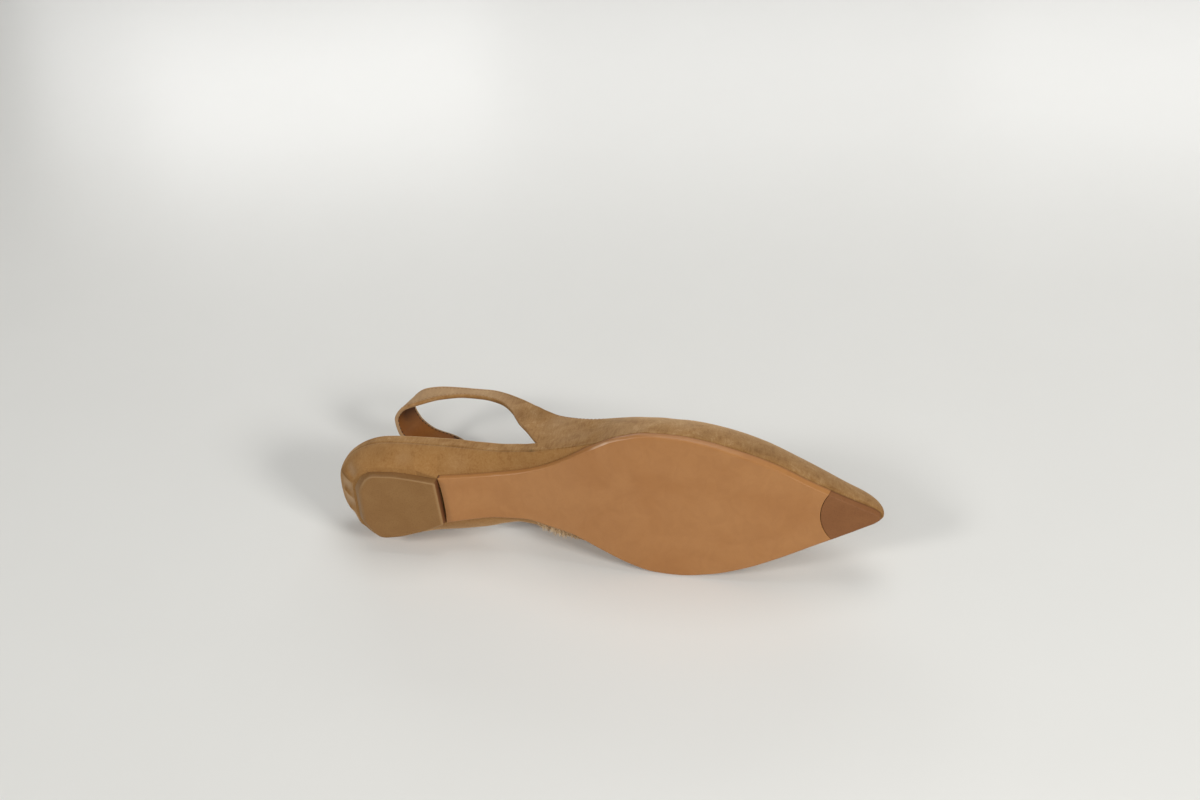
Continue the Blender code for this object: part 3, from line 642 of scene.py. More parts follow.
def make_stitches(kind, upper, thread):
    """Stitches along the topline and the strap's lower edge, as one mesh."""
    form, fullness, lift = STITCH_FORM.T[..., None]
    share = kind.margin / upper.length
    stitches = []
    for v, columns in ((1 - share, len(upper.face)), (share, STRAP_COLUMNS)):
        out = upper.at(upper.normal, v)[:columns, 0]
        line = upper.at(upper.face, v)[:columns, 0]
        if kind.inside:
            line, out = line - WALL * out, -out
        run = run_length(line)
        for place in np.arange(STITCH_PITCH, run[-1] - STITCH_PITCH, STITCH_PITCH):
            start, end = (np.array([np.interp(at, run, axis) for axis in line.T])
                          for at in (place, place + kind.length))
            normal = unit(np.array([np.interp(place, run, axis) for axis in out.T]))
            aside = np.cross(normal, unit(end - start))
            centres = lerp(start, end, form) + lift * kind.thickness * normal
            stitches.append(tube(centres, kind.thickness / 2 * fullness, aside, normal, STITCH_SIDES))
    points = np.concatenate(stitches)
    add_piece(kind.name, points, tube_faces(len(stitches), len(form), STITCH_SIDES), thread, "suede",
              "upper", shade=np.full(len(points), float(kind.inside)))


# Pieces built from rings and plates

BACK_POINTS = 26
BACK_BULGE = 0.15
END_LINE_STEPS = 40  # rounds in which a plate's end settles on its end line


def ring(x, lateral, medial, z):
    """Closed ring: lateral side, round the back, medial side."""
    z = np.broadcast_to(z, np.shape(x))
    share = np.linspace(0, 1, BACK_POINTS + 2)[1:-1]
    back = np.column_stack((
        x[0] - BACK_BULGE * (1 - (2 * share - 1) ** 2),
        lerp(lateral[0], medial[0], share), np.full(BACK_POINTS, z[0])))
    return np.concatenate((
        np.column_stack((x, lateral, z))[::-1], back, np.column_stack((x, medial, z))))


def stacked_faces(levels, count):
    """Walls between rings, and a strip across the lowest and the highest one."""
    faces = grid_faces(levels, count, closed_columns=True)
    for base in (0, (levels - 1) * count):
        for k in range(count // 2 - 1):
            faces.append([base + k, base + k + 1, base + count - 2 - k, base + count - 1 - k])
    return faces


def skewed(points, back=0.0):
    """Points near the heel breast, shifted so that it runs slightly askew."""
    x, y, z = np.moveaxis(points, -1, 0)
    near = ramp(np.abs(x - LIFT_BREAST), BREAST_REACH, 0)
    return np.stack((x + near * (BREAST_SKEW * y - back), y, z), axis=-1)


def straight(place):
    """End line across the shoe at one x."""
    return lambda y: np.full_like(y, place)


def plate_grid(edges, back_line, front_line, grid, close=None):
    """x and y of a flat piece's points between two end lines x(y), closer together at one end."""
    along, across = grid
    side = np.linspace(0, 1, across)

    def y_at(x):
        return lerp(*edges(x), side)

    start, end = back_line(np.zeros(across)), front_line(np.zeros(across))
    for _ in range(END_LINE_STEPS):
        start, end = back_line(y_at(start)), front_line(y_at(end))
    x = lerp(start, end, stations(0, 1, along, close)[:, None])
    return x, y_at(x)


def border(rows, columns):
    """Numbers of a grid's outer points, in order round it."""
    number = np.arange(rows * columns).reshape(rows, columns)
    return np.concatenate((number[:, 0], number[-1, 1:], number[-2::-1, -1], number[0, -2:0:-1]))


def plate_mesh(grids):
    """Closed plate from grids of points, one for each level."""
    rows, columns = grids[0].shape[:2]
    first, *between, last = (grid.reshape(-1, 3) for grid in grids)
    rim = border(rows, columns)
    points = np.concatenate((first, *(level[rim] for level in between), last))
    base = len(points) - len(last)
    loops = [rim, *np.arange(len(first), base).reshape(len(between), -1), rim + base]
    faces = grid_faces(rows, columns) + grid_faces(rows, columns, base)
    for below, above in zip(loops, loops[1:]):
        faces += np.column_stack((below, np.roll(below, -1), np.roll(above, -1), above)).tolist()
    return points, faces


# Sole

# Layers of the sole's rounded lower edge, from the face up to the wall, and its top
EDGE_ANGLES = np.linspace(0, math.pi / 2, 9)
SOLE_LAYERS = [Layer(1 - math.sin(angle), SOLE_EDGE_RISE * (1 - math.cos(angle))) for angle in EDGE_ANGLES]
SOLE_LAYERS.append(Layer(0, SOLE_THICKNESS))
SOLE_GRID = 170, 45  # points along and across
TIP_GRID = 60, 41
LIFT_GRID = 90, 49

# Painted shade on the sole's side, lighter at the toe but with a darker top line there: the joint under the
# suede, with painted shade in it. And painted shade on its side of the slit
SIDE_PAINTED_SHADE = Change(0.3, 0.1, 190, 220)
SIDE_RISE = Change(SOLE_EDGE_RISE, 0.6, 190, 220)
TOP_LINE = Change(0.7, 1.26, 190, 220)
TOP_LINE_RISE = 2.1, SOLE_THICKNESS
EDGE_HIGHLIGHT_START = 0, 0.05
EDGE_HIGHLIGHT_END = 1.6, 0.8
SLIT_PAINTED_SHADE = 3
SLIT_REACH = 0.2
SLIT_RISE = 0.6

# Spans of the painted reflection on the lift's back, and painted shade on its side of the slit
LIFT_BACK_X = LIFT_BACK + 3, LIFT_BACK
LIFT_BACK_RISE = 0, 0.4
LIFT_SLIT_REACH = 0.1
LIFT_SLIT_RISE = 0.7
LIFT_SLIT_PAINTED_SHADE = Change(1.1, 1.4, 1.6, 1.6 + THIN)


def tip_arc(radius):
    """Joint of the toe insert as x(y)."""
    centre = TIP_ARC_BACK + TIP_ARC_RADIUS
    return lambda y: centre - np.sqrt(np.maximum(radius ** 2 - (y - TIP_ARC_CENTRE_Y) ** 2, 0))


def breast_arc(y):
    """Hollowed back edge of the outsole as x(y)."""
    middle, _ = middle_half(*sole_plan.edges(SOLE_START))
    centre = SOLE_START + BREAST_HOLLOW - BREAST_RADIUS
    return np.maximum(centre + np.sqrt(BREAST_RADIUS ** 2 - (y - middle) ** 2), SOLE_START)


def sole_edges(layer):
    """Edges of one layer of the sole as a function of x; its wall leans out."""
    lean = layer.rise / SOLE_THICKNESS

    def edges(x):
        lateral = sole_plan.edges(x, layer.inset * sole_edge_width(x))[0]
        medial = sole_plan.edges(x, layer.inset * SOLE_EDGE_MEDIAL)[1]
        seat_lateral, seat_medial = seat_plan.edges(x)
        share = lean * ramp(x, *SOLE_FLARE_X)
        return (lateral - share * np.clip(lateral - seat_lateral, 0, SOLE_FLARE),
                medial + share * np.clip(seat_medial - medial, 0, SOLE_FLARE))

    return edges


def make_sole_piece(name, back_line, front_line, material, slot, *grid):
    """Outsole or toe insert, with a rounded lower edge."""
    grids = []
    for layer in SOLE_LAYERS:
        ease = layer.inset * JOINT_EASE
        x, y = plate_grid(sole_edges(layer), lambda y: back_line(y) + ease,
                          lambda y: front_line(y) - ease, *grid)
        grids.append(np.stack((x, y, sole_bottom(x) + layer.rise), axis=-1))
    points, faces = plate_mesh(grids)
    x = points[:, 0]
    rise = points[:, 2] - sole_bottom(x)
    # Painted shade on the side and in the slit; a painted highlight lightens the edge
    shade = SIDE_PAINTED_SHADE.at(x) * ramp(rise, 0, SIDE_RISE.at(x)) + TOP_LINE.at(x) * ramp(rise, *TOP_LINE_RISE)
    shade -= patched(points, EDGE_HIGHLIGHT_PATCHES) * ramp(rise, *EDGE_HIGHLIGHT_START) * ramp(rise, *EDGE_HIGHLIGHT_END)
    in_slit = (x < SOLE_START + BREAST_HOLLOW + SLIT_REACH) & (rise > SLIT_RISE)
    add_piece(name, skewed(points, BREAST_CLOSE), faces, material, slot, name,
              shade=np.where(in_slit, SLIT_PAINTED_SHADE, shade))


def make_sole(leather, rubber):
    """Outsole, and the rubber insert behind its arc."""
    make_sole_piece("outsole", breast_arc, tip_arc(TIP_ARC_RADIUS + JOINT / 2), leather, "sole_leather",
                    SOLE_GRID)
    make_sole_piece("toe_tip", tip_arc(TIP_ARC_RADIUS - JOINT / 2), straight(SOLE_TOE), rubber,
                    "tip_rubber", TIP_GRID, "front")


def make_lift(rubber):
    """Rubber top piece: upright sides, a back that leans out, a bevelled tread edge."""
    grids = []
    for bevel in LIFT_EDGE:
        x, y = plate_grid(lambda x: lift_plan.edges(x, bevel.inset * LIFT_SIDE_BEVEL),
                          straight(LIFT_BACK), straight(LIFT_BREAST), LIFT_GRID, "back")
        lean = LIFT_BACK_SLOPE * bevel.rise / LIFT_HEIGHT - bevel.inset
        shift = lean * ramp(x, LIFT_LEAN_END, LIFT_BACK) + bevel.inset * ramp(x, LIFT_LEAN_END, LIFT_BREAST)
        grids.append(np.stack((x - shift, y, np.full_like(x, bevel.rise)), axis=-1))
    points, faces = plate_mesh(grids)
    x, _, z = points.T
    # Painted highlight on the bevel, darker redder wall, painted reflection on the back, painted shade in
    # the slit
    shade = np.interp(z, column(LIFT_EDGE, "rise"), column(LIFT_EDGE, "shade"))
    shade = lerp(shade, LIFT_BACK_PAINTED_REFLECTION * ramp(z, *LIFT_BACK_RISE), ramp(x, *LIFT_BACK_X))
    in_slit = (x > LIFT_BREAST - LIFT_SLIT_REACH) & (z > LIFT_SLIT_RISE)
    add_piece("heel_lift", skewed(points), faces, rubber, "lift_rubber", "heel_lift",
              shade=np.where(in_slit, LIFT_SLIT_PAINTED_SHADE.at(z), shade), sharp=24)


# Heel wrap and footbed

WRAP_STATIONS = 110, 90  # over the lift and over the sole
WRAP_LEVELS = 26
WRAP_FIRST_RISE = 0.02

# Shares of the wrap's height, or of its length, between which its groove and folds come in
GROOVE_RISE = 0.93, 1
GROOVE_BACK = 1 / 6, 0
FOLD_RISE = 0, 0.14

# Dark line along the wrap's seam, partly painted shade in its groove; painted shade in the gap of its open
# joint with the sole, in the troughs of its folds and on its underside; painted light on the folds' ridges
LINE_RISE = 0.05
SEAM_SHADE = Change(0.22, 0.01, QUARTER_CORNER - 2, QUARTER_CORNER + 8)
OPEN_JOINT = Change(0.6, 0, 9.8, 14)
OPEN_JOINT_X = 84
TROUGH_PAINTED_SHADE = 0.45
RIDGE_PAINTED_LIGHT = 0.5
UNDERSIDE_SHADE = 0.03

# Strands of frayed suede beside the medial waist of the sole: lengths along it, then mean and
# spread of each direction
FRAY_COUNT = 240
FRAY_SEED = 7
FRAY_X = [99, 102, 108, 114, 120]
FRAY_LENGTH = [0.8, 2.6, 2.6, 1.8, 0.6]
FRAY_LENGTH_VARIES = 0.5, 1.15
FRAY_RISE = 0.2, 0.9
FRAY_ROOT_DEPTH = 0.3
FRAY_FORWARD = 0.15, 0.45
FRAY_OUTWARD = 0.8
FRAY_UPWARD = -0.55, 0.25
FRAY_BEND = 0, 0.3
FRAY_THICKNESS = 0.1, 0.24
FRAY_FORM = np.array([(0, 1), (0.4, 0.68), (0.75, 0.4), (1, 0.2)])  # share of its length, fullness
FRAY_RING = np.array((1, 0, 0)), np.array((0, 0, 1)), 3  # directions and number of its sides
# Paler strands: lighter fibres, with painted light against the shadow under the sole
FRAY_PALE_FIBRE_AND_LIGHT = [-1, -1, -0.9, -0.8, -0.6, -0.25]

FOOTBED_STATIONS = 120, 110  # of the rim and inside the upper
FOOTBED_LEVELS = 22
FOOTBED_BACK = 12
RIM_SEAM_SHADE = 0.28
RIM_SEAM_RISE = 0.08
SOCK_RECESS_SLANT = 0.2
SOCK_EDGE = table(Layer, (0.5, 0.1 - SOCK_DEPTH), (0.4, -0.35), (0.5, -0.1), (0.8, 0), (1.6, 0.06))


def make_wrap(suede):
    """Suede-covered heel block and shank, gathered at the back."""
    over_lift = stations(SEAT_BACK, LIFT_BREAST, WRAP_STATIONS[0], "back")
    over_sole = stations(LIFT_BREAST + GAP, LIP_END, WRAP_STATIONS[1])
    x = np.concatenate((over_lift, over_sole))
    overhang = LIFT_BACK_SLOPE + WRAP_BACK_LIP
    share = (x - SEAT_BACK) / (LIFT_BREAST - SEAT_BACK)
    low_x = np.where(x < LIFT_BREAST, lerp(LIFT_BACK - overhang, LIFT_BREAST, share), x)
    lift_edges = lift_plan.edges(np.maximum(low_x + overhang, LIFT_BACK), -WRAP_LEDGE.at(share))
    on_sole = ramp(x, WRAP_TURN, LIFT_BREAST)
    low_edges = lerp(lift_edges, sole_plan.edges(x, WRAP_ON_SOLE_INSET), on_sole)
    lift_z, sole_z = LIFT_HEIGHT + GAP, sole_top(np.maximum(x, SOLE_START)) + GAP
    underside = np.where(x <= LIFT_BREAST, lift_z, sole_z)
    low_z = lerp(lift_z, sole_z, on_sole)
    seam = np.maximum(seam_height(x) + SEAM_CLOSE, sole_z + THIN)
    rises = np.concatenate(([0], np.linspace(WRAP_FIRST_RISE, 1, WRAP_LEVELS)))
    rings = []
    for level, rise in enumerate(rises):
        spread = wrap_spread(rise)
        drawn_in = SEAM_GROOVE.at(x) * ramp(rise, *GROOVE_RISE) ** 2
        top_x = x + drawn_in * ramp(share, *GROOVE_BACK)
        edges = lerp(low_edges, seat_plan.edges(x, drawn_in), spread)
        z = lerp(low_z, seam, rise) if level else underside
        rings.append(ring(lerp(low_x, top_x, spread), *edges, z))
    rings = np.array(rings)
    tangent = np.roll(rings, -1, axis=1) - np.roll(rings, 1, axis=1)
    outward = unit(np.cross(tangent, np.gradient(rings, axis=0)))
    push = relief(rings, HEEL_FOLDS) * ramp(rises, *FOLD_RISE)[:, None]
    rings = skewed(rings + outward * push[..., None], BREAST_CLOSE)
    x_ring, y_ring, _ = np.moveaxis(rings, -1, 0)
    seam_line = bell(1 - rises, LINE_RISE)[:, None] * SEAM_SHADE.at(x_ring)
    open_joint = OPEN_JOINT.at(np.abs(x_ring - OPEN_JOINT_X)) * (y_ring > 0)
    joint_gap_shade = bell(rises, LINE_RISE)[:, None] * open_joint
    # Painted shade in the troughs of the folds, painted light on their ridges
    folds = -push * np.where(push < 0, TROUGH_PAINTED_SHADE, RIDGE_PAINTED_LIGHT)
    shade = seam_line + joint_gap_shade + folds + patched(rings, NAP_AND_PAINTED_LIGHT_PATCHES)
    shade[0] = UNDERSIDE_SHADE
    add_piece("heel_wrap", rings, stacked_faces(*rings.shape[:2]), suede, "suede", "heel_wrap",
              shade=shade, sharp=60)


def make_fray(suede):
    """Tapered strands on the wrap's medial side at the waist, as one mesh."""
    chance = np.random.default_rng(FRAY_SEED)
    form, fullness = FRAY_FORM.T[..., None]
    strands, shades = [], []
    for x in np.sort(chance.uniform(FRAY_X[0], FRAY_X[-1], FRAY_COUNT)):
        rise = chance.uniform(*FRAY_RISE)
        y = lerp(sole_plan.edges(x)[1], seat_plan.edges(x)[1], wrap_spread(rise)) - FRAY_ROOT_DEPTH
        root = np.array((x, y, lerp(sole_top(x) + GAP, seam_height(x), rise)))
        length = np.interp(x, FRAY_X, FRAY_LENGTH) * chance.uniform(*FRAY_LENGTH_VARIES)
        aim = unit(np.array((chance.normal(*FRAY_FORWARD), FRAY_OUTWARD, chance.normal(*FRAY_UPWARD))))
        bend = np.array((chance.normal(*FRAY_BEND), 0, chance.normal(*FRAY_BEND)))
        radii = chance.uniform(*FRAY_THICKNESS) * fullness
        strands.append(tube(root + aim * length * form + bend * form ** 2, radii, *FRAY_RING))
        shades += [chance.choice(FRAY_PALE_FIBRE_AND_LIGHT)] * len(strands[-1])
    faces = tube_faces(FRAY_COUNT, len(form), FRAY_RING[-1])
    add_piece("frayed_suede", np.concatenate(strands), faces, suede, "suede", "heel_wrap", shade=shades)


def make_footbed(suede, lining):
    """Footbed with its suede-covered rim, and the sock lining in its recess."""
    rim_end = RIM_END + RIM_TUCK
    at_heel = stations(SEAT_BACK, rim_end, FOOTBED_STATIONS[0], "back")
    in_upper = stations(rim_end + 2 * THIN, INSOLE_TOE, FOOTBED_STATIONS[1], "front")
    x = np.concatenate((at_heel, in_upper))
    fit = np.where(x > rim_end, WALL + INSOLE_FIT.at(x), RIM_OUT.at(x) + RIM_IN.at(x))
    bottom = np.where(x < WRAP_END, seam_height(x) + GAP, foot_of_upper(x))
    even = bottom + INSOLE_THICKNESS
    top = np.where(x < FOOTBED_EVEN, np.maximum(rim_height(x), even), even)
    middle, half = middle_half(*seat_plan.edges(x))
    tip_round = np.sqrt(1 - ramp(x, INSOLE_TOE - INSOLE_TIP_ROUND, INSOLE_TOE) ** 2)
    back_share = ramp(x, SEAT_BACK + FOOTBED_BACK, SEAT_BACK)

    def level(inset, z):
        reach = INSOLE_TIP_HALF + np.maximum(half - fit - inset - INSOLE_TIP_HALF, 0) * tip_round
        return ring(x + inset * back_share, middle - reach, middle + reach, z)

    rises = np.linspace(0, 1, FOOTBED_LEVELS)
    insets = table_curve(RIM_EDGE, "rise", "inset")(rises)
    rings = [level(inset, lerp(bottom, top, rise)) for inset, rise in zip(insets, rises)]
    rings.append(level(SOCK_INSET, top))
    rings.append(level(SOCK_INSET + SOCK_RECESS_SLANT, top - SOCK_DEPTH))
    rings = np.array(rings)
    seam = RIM_SEAM_SHADE * bell(np.concatenate((rises, [1, 1])), RIM_SEAM_RISE)[:, None]
    add_piece("footbed", rings, stacked_faces(*rings.shape[:2]), suede, "suede", "insole",
              shade=seam + patched(rings, NAP_AND_PAINTED_LIGHT_PATCHES), sharp=60)
    sock = np.array([level(SOCK_INSET + layer.inset, top + layer.rise) for layer in SOCK_EDGE])
    add_piece("sock_lining", sock, stacked_faces(*sock.shape[:2]), lining, "lining", "insole")


# Materials


def tone(red, green, blue):
    """Linear colour of an sRGB one given from 0 to 255."""
    srgb = np.array((red, green, blue)) / 255
    linear = np.where(srgb <= 0.04045, srgb / 12.92, ((srgb + 0.055) / 1.055) ** 2.4)
    return (*linear, 1.0)


class Finish:
    """Node material; sizes in millimetres of the shoe frame."""

    def __init__(self, name):
        self.material = bpy.data.materials.new(name)
        self.material.use_nodes = True
        self.tree = self.material.node_tree
        self.surface = self.tree.nodes["Principled BSDF"]
        to_shoe = SHOE.inverted()
        self.place = self.node("ShaderNodeMapping", {
            "Vector": self.node("ShaderNodeTexCoord").outputs["Object"],
            "Rotation": to_shoe.to_euler(), "Location": to_shoe.translation}).outputs[0]

    def node(self, kind, inputs=None, **settings):
        item = self.tree.nodes.new(kind)
        for name, value in settings.items():
            setattr(item, name, value)
        for key, value in (inputs or {}).items():
            self.put(item.inputs[key], value)
        return item

    def put(self, socket, value):
        if isinstance(value, bpy.types.NodeSocket):
            self.tree.links.new(value, socket)
        else:
            socket.default_value = value

    def set(self, **values):
        for name, value in values.items():
            self.put(self.surface.inputs[name.replace("_", " ")], value)

    def pattern(self, kind, size, **inputs):
        """Pattern whose marks have this size, one length or three."""
        sizes = np.broadcast_to(np.array(size, dtype=float), 3)
        where = self.node("ShaderNodeMapping", {"Vector": self.place, "Scale": 1 / (sizes * MM)})
        return self.node(kind, {"Vector": where.outputs[0], "Scale": 1.0, **inputs}).outputs[0]

    def noise(self, size, detail=2.0, roughness=0.5, distortion=0.0):
        """Cloudy noise from 0 to 1."""
        return self.pattern("ShaderNodeTexNoise", size, Detail=detail, Roughness=roughness,
                            Distortion=distortion)

    def between(self, value, low, high, to_low=0.0, to_high=1.0):
        """Value from low to high turned smoothly into one from to_low to to_high."""
        inputs = {0: value, 1: low, 2: high, 3: to_low, 4: to_high}
        return self.node("ShaderNodeMapRange", inputs, interpolation_type="SMOOTHSTEP").outputs[0]

    def math(self, operation, first, second):
        return self.node("ShaderNodeMath", {0: first, 1: second}, operation=operation).outputs[0]

    def mix(self, share, first, second, blend="MIX"):
        return self.node("ShaderNodeMix", {0: share, 6: first, 7: second},
                         data_type="RGBA", blend_type=blend).outputs[2]

    def shade(self):
        return self.node("ShaderNodeAttribute", attribute_name="shade").outputs["Fac"]

    def tint(self, colour, *layers):
        """Colour with others laid over it, each with its mask and its strength."""
        for mask, strength, over in layers:
            colour = self.mix(self.math("MULTIPLY", mask, strength), colour, over)
        return colour

    def shaded(self, colour, *layers):
        """Colour with others laid over it as the shade goes from low to high, to a strength."""
        for low, high, strength, over in layers:
            colour = self.mix(self.between(self.shade(), low, high, 0, strength), colour, over)
        return colour

    def bump(self, height, depth, normal=None):
        """Normal raised by a height from 0 to 1 over a depth in millimetres."""
        inputs = {"Height": height, "Distance": depth * MM, "Strength": 1.0}
        if normal is not None:
            inputs["Normal"] = normal
        return self.node("ShaderNodeBump", inputs).outputs[0]


# Pale tone: paler nap, painted sheen and painted light
PALE_NAP_AND_SHEEN = tone(193, 167, 136)
NAP_SHEEN = tone(240, 208, 166)
DARKEST = 0.35  # of the dark tone, where the shade is full: darker nap and painted shade
STREAK_SHARE = 0.3


def suede_finish(name, main, dark, light, mottled, pale=PALE_NAP_AND_SHEEN):
    """Brushed nap: patches, short strokes and fine fibres."""
    finish = Finish(name)
    patches = finish.between(finish.noise((12, 12, 8), 4, 0.62, 1.2), 0.34, 0.66)
    streaks = finish.between(finish.noise((3.2, 3.2, 7), 3, 0.6, 0.5), 0.28, 0.72)
    strokes = finish.between(finish.noise((0.9, 0.9, 4.2), 3, 0.6, 0.2), 0.28, 0.72)
    fibre = finish.noise((0.4, 0.4, 0.8), 3, 0.65)
    nap = finish.math("MULTIPLY", patches, mottled)
    for layer, share in ((streaks, STREAK_SHARE), (strokes, 1 - STREAK_SHARE - mottled)):
        nap = finish.math("ADD", nap, finish.math("MULTIPLY", layer, share))
    colour = finish.mix(finish.between(nap, 0.12, 0.5), dark, main)
    colour = finish.mix(finish.between(nap, 0.5, 0.92), colour, light)
    colour = finish.mix(finish.between(fibre, 0.3, 0.75, 0.0, 0.55), colour, dark)
    darkest = (*(DARKEST * part for part in dark[:3]), 1.0)
    # Negative shade: paler nap, painted sheen and painted light; positive: darker nap and painted shade
    colour = finish.tint(colour, (finish.shade(), -1.0, pale), (finish.shade(), 1.0, darkest))
    soft = finish.bump(finish.noise(6.0, 2), 0.12)
    clumps = finish.bump(finish.noise((0.8, 0.8, 1.8), 3, 0.6), 0.045, soft)
    hairs = finish.bump(fibre, 0.05, clumps)
    finish.set(Base_Color=colour, Roughness=0.95, Normal=hairs, Specular_IOR_Level=0.15,
               Sheen_Weight=0.44, Sheen_Roughness=0.45, Sheen_Tint=NAP_SHEEN)
    return finish.material


def sole_leather_finish():
    """Satin sole leather: cloudy tan with light scuffs."""
    finish = Finish("sole_leather")
    clouds = finish.between(finish.noise((34, 26, 26), 4, 0.55, 0.6), 0.3, 0.7)
    drift = finish.between(finish.noise((7, 9, 9), 3, 0.6, 1.2), 0.35, 0.7)
    pores = finish.noise(0.5, 2, 0.6)
    scuffs = finish.between(finish.noise((22, 0.9, 3), 3, 0.7, 0.6), 0.66, 0.8)
    colour = finish.mix(clouds, tone(166, 111, 56), tone(175, 121, 66))
    colour = finish.tint(colour, (drift, 0.2, tone(148, 94, 46)), (scuffs, 0.25, tone(180, 138, 98)),
                         (pores, 0.18, tone(120, 76, 42)))
    # Painted shade on the side, deep painted shade in the slit, a painted highlight on the edge
    colour = finish.shaded(colour, (0, 1, 0.4, tone(110, 66, 34)), (1, 3, 1, tone(80, 42, 20)),
                           (0, -1, 1, tone(216, 182, 152)))
    rough = finish.between(clouds, 0, 1, 0.44, 0.36)
    rough = finish.math("ADD", rough, finish.math("MULTIPLY", scuffs, 0.12))
    rough = finish.math("ADD", rough, finish.between(finish.shade(), 0, 1, 0, 0.2))
    waves = finish.bump(finish.noise((9, 6, 6), 2), 0.07)
    grain = finish.bump(pores, 0.012, waves)
    finish.set(Base_Color=colour, Roughness=rough, Normal=grain, Specular_IOR_Level=0.5,
               Coat_Weight=0.18, Coat_Roughness=0.32)
    return finish.material


def rubber_finish(name, main, dark, light):
    """Matt rubber with fine specks, rubbing marks and a dusty bloom."""
    finish = Finish(name)
    bloom = finish.between(finish.noise((12, 9, 9), 4, 0.6, 0.5), 0.35, 0.7)
    specks = finish.noise(0.7, 2, 0.7)
    rubs = finish.between(finish.noise((10, 1.0, 4), 3, 0.7, 0.5), 0.62, 0.78)
    colour = finish.tint(main, (bloom, 0.6, light))
    colour = finish.mix(finish.between(specks, 0.45, 0.75, 0.0, 0.3), colour, dark)
    colour = finish.tint(colour, (rubs, 0.25, light))
    # Painted shade on the tip's side and in the slit, darker redder lift walls, a painted highlight on the
    # bevel and a painted reflection on the lift's back
    colour = finish.shaded(colour, (0, 1, 0.6, dark), (1, 1.5, 1, tone(84, 44, 22)),
                           (0, -1, 1, tone(176, 146, 106)))
    grain = finish.bump(specks, 0.03, finish.bump(finish.noise(6, 2), 0.06))
    finish.set(Base_Color=colour, Roughness=finish.between(bloom, 0, 1, 0.52, 0.62), Normal=grain,
               Specular_IOR_Level=0.3)
    return finish.material


def lining_finish():
    """Smooth lining leather with a fine pebble."""
    finish = Finish("lining_leather")
    clouds = finish.noise(14, 3, 0.6, 0.4)
    pebble = finish.pattern("ShaderNodeTexVoronoi", 0.55)
    colour = finish.mix(finish.between(clouds, 0.3, 0.7), tone(132, 77, 24), tone(149, 92, 35))
    colour = finish.tint(colour, (pebble, 0.2, tone(90, 48, 22)))
    # Painted shade towards the top of the lining and at the strap's inner end
    colour = finish.shaded(colour, (0, 1, 1, tone(36, 18, 10)))
    grain = finish.bump(pebble, 0.035, finish.bump(finish.noise(4, 2), 0.12))
    finish.set(Base_Color=colour, Roughness=finish.between(clouds, 0.3, 0.7, 0.5, 0.6), Normal=grain,
               Specular_IOR_Level=0.25)
    return finish.material


def thread_finish():
    """Twisted thread, dark where its shade is full."""
    finish = Finish("thread")
    twist = finish.noise((0.25, 0.25, 0.5), 2)
    colour = finish.mix(twist, tone(128, 92, 56), tone(156, 118, 76))
    colour = finish.mix(finish.shade(), colour, tone(44, 25, 14))
    finish.set(Base_Color=colour, Roughness=0.8, Normal=finish.bump(twist, 0.05))
    return finish.material


def floor_finish():
    """Pale backdrop board, slightly glossy."""
    finish = Finish("backdrop")
    mottle = finish.noise(60, 3, 0.5)
    finish.set(Base_Color=finish.mix(mottle, (0.78, 0.77, 0.73, 1), (0.80, 0.79, 0.75, 1)),
               Roughness=0.22, Specular_IOR_Level=0.4)
    return finish.material


# Floor, light and camera

# Softboxes: places, aims on the floor and sizes in metres, power in watts
Box = namedtuple("Box", "name x y z aim_x aim_y width height power")
SOFTBOXES = table(
    Box, ("front_left", -1.2, -1.2, 1.2, 0, 0, 0.5, 0.4, 12.8),
    ("front_right", 1.35, -0.9, 0.85, 0, 0, 0.5, 0.4, 19.2),
    ("front", 0, -1.4, 1.35, 0, 0, 0.45, 0.4, 3.6), ("overhead", 0.15, 0.4, 1.3, 0.15, 0.4, 0.8, 0.8, 4.9),
    ("back_strip", -0.4, 2.9, 1.25, -0.2, 0.4, 3.2, 0.5, 16.2),
    ("back_left", -1.2, 2.65, 1.2, -0.3, 0.4, 0.8, 0.35, 1.8),
    ("back_right", 0.65, 2.76, 1.2, 0.3, 0.45, 0.8, 0.35, 0.8),
)
SKY_COLOUR = 0.96, 0.98, 1, 1
SKY_STRENGTH = 0.17
FLOOR_HALF = 6


def make_floor():
    """Level backdrop that the shoe lies on."""
    mesh = bpy.data.meshes.new("floor")
    corners = [(x * FLOOR_HALF, y * FLOOR_HALF, 0) for x, y in ((-1, -1), (1, -1), (1, 1), (-1, 1))]
    mesh.from_pydata(corners, [], [(0, 1, 2, 3)])
    mesh.materials.append(floor_finish())
    floor = add_object("floor", mesh)


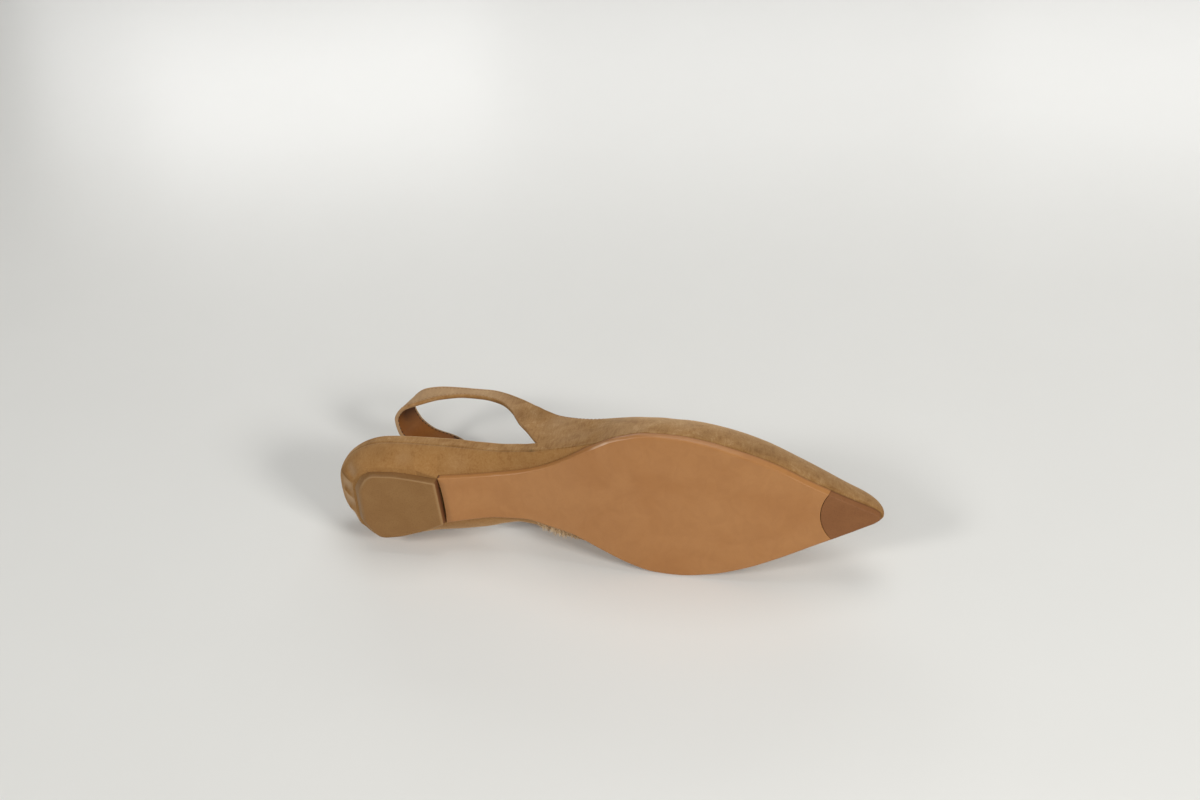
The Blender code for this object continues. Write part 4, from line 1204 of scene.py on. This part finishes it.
def make_lights():
    for box in SOFTBOXES:
        light = bpy.data.lights.new(box.name, "AREA")
        light.shape = "RECTANGLE"
        light.size, light.size_y, light.energy = box.width, box.height, box.power
        lamp = add_object(box.name, light)
        lamp.location = box.x, box.y, box.z
        aim = Vector((box.aim_x, box.aim_y, 0)) - lamp.location
        lamp.rotation_euler = aim.to_track_quat("-Z", "Y").to_euler()
    world = bpy.data.worlds.new("studio")
    world.use_nodes = True
    sky = world.node_tree.nodes["Background"]
    sky.inputs["Color"].default_value = SKY_COLOUR
    sky.inputs["Strength"].default_value = SKY_STRENGTH
    bpy.context.scene.world = world


def make_camera():
    camera = bpy.data.cameras.new("camera")
    camera.lens, camera.sensor_width = CAMERA_LENS, CAMERA_SENSOR
    camera.clip_start, camera.clip_end = 0.01, 50.0
    holder = add_object("camera", camera)
    turn = SHOE.to_3x3()
    back = -(turn @ CAMERA_FORWARD).normalized()
    up = turn @ CAMERA_UP
    right = up.cross(back).normalized()
    holder.matrix_world = (Matrix.Translation(SHOE @ (CAMERA_PLACE * MM))
                           @ Matrix((right, back.cross(right), back)).transposed().to_4x4())
    bpy.context.scene.camera = holder


def main():
    bpy.context.scene.view_settings.view_transform = "Standard"
    suede = suede_finish("suede", tone(159, 118, 70), tone(134, 93, 49), tone(179, 141, 95), 0.4)
    wrap_tones = tone(156, 114, 66), tone(141, 99, 54), tone(164, 123, 75), 0.26
    lining = lining_finish()
    make_upper(suede, lining, thread_finish())
    make_footbed(suede, lining)
    make_wrap(suede_finish("wrap_suede", *wrap_tones))
    # Pale tone of the strands: lighter fibres, with painted light against the shadow under the sole
    make_fray(suede_finish("frayed_suede", *wrap_tones, pale=tone(222, 197, 158)))
    tip_rubber = rubber_finish("tip_rubber", tone(127, 81, 44), tone(95, 57, 29), tone(135, 89, 51))
    make_sole(sole_leather_finish(), tip_rubber)
    make_lift(rubber_finish("lift_rubber", tone(135, 97, 53), tone(99, 56, 32), tone(145, 108, 64)))
    make_floor()
    make_lights()
    make_camera()


main()
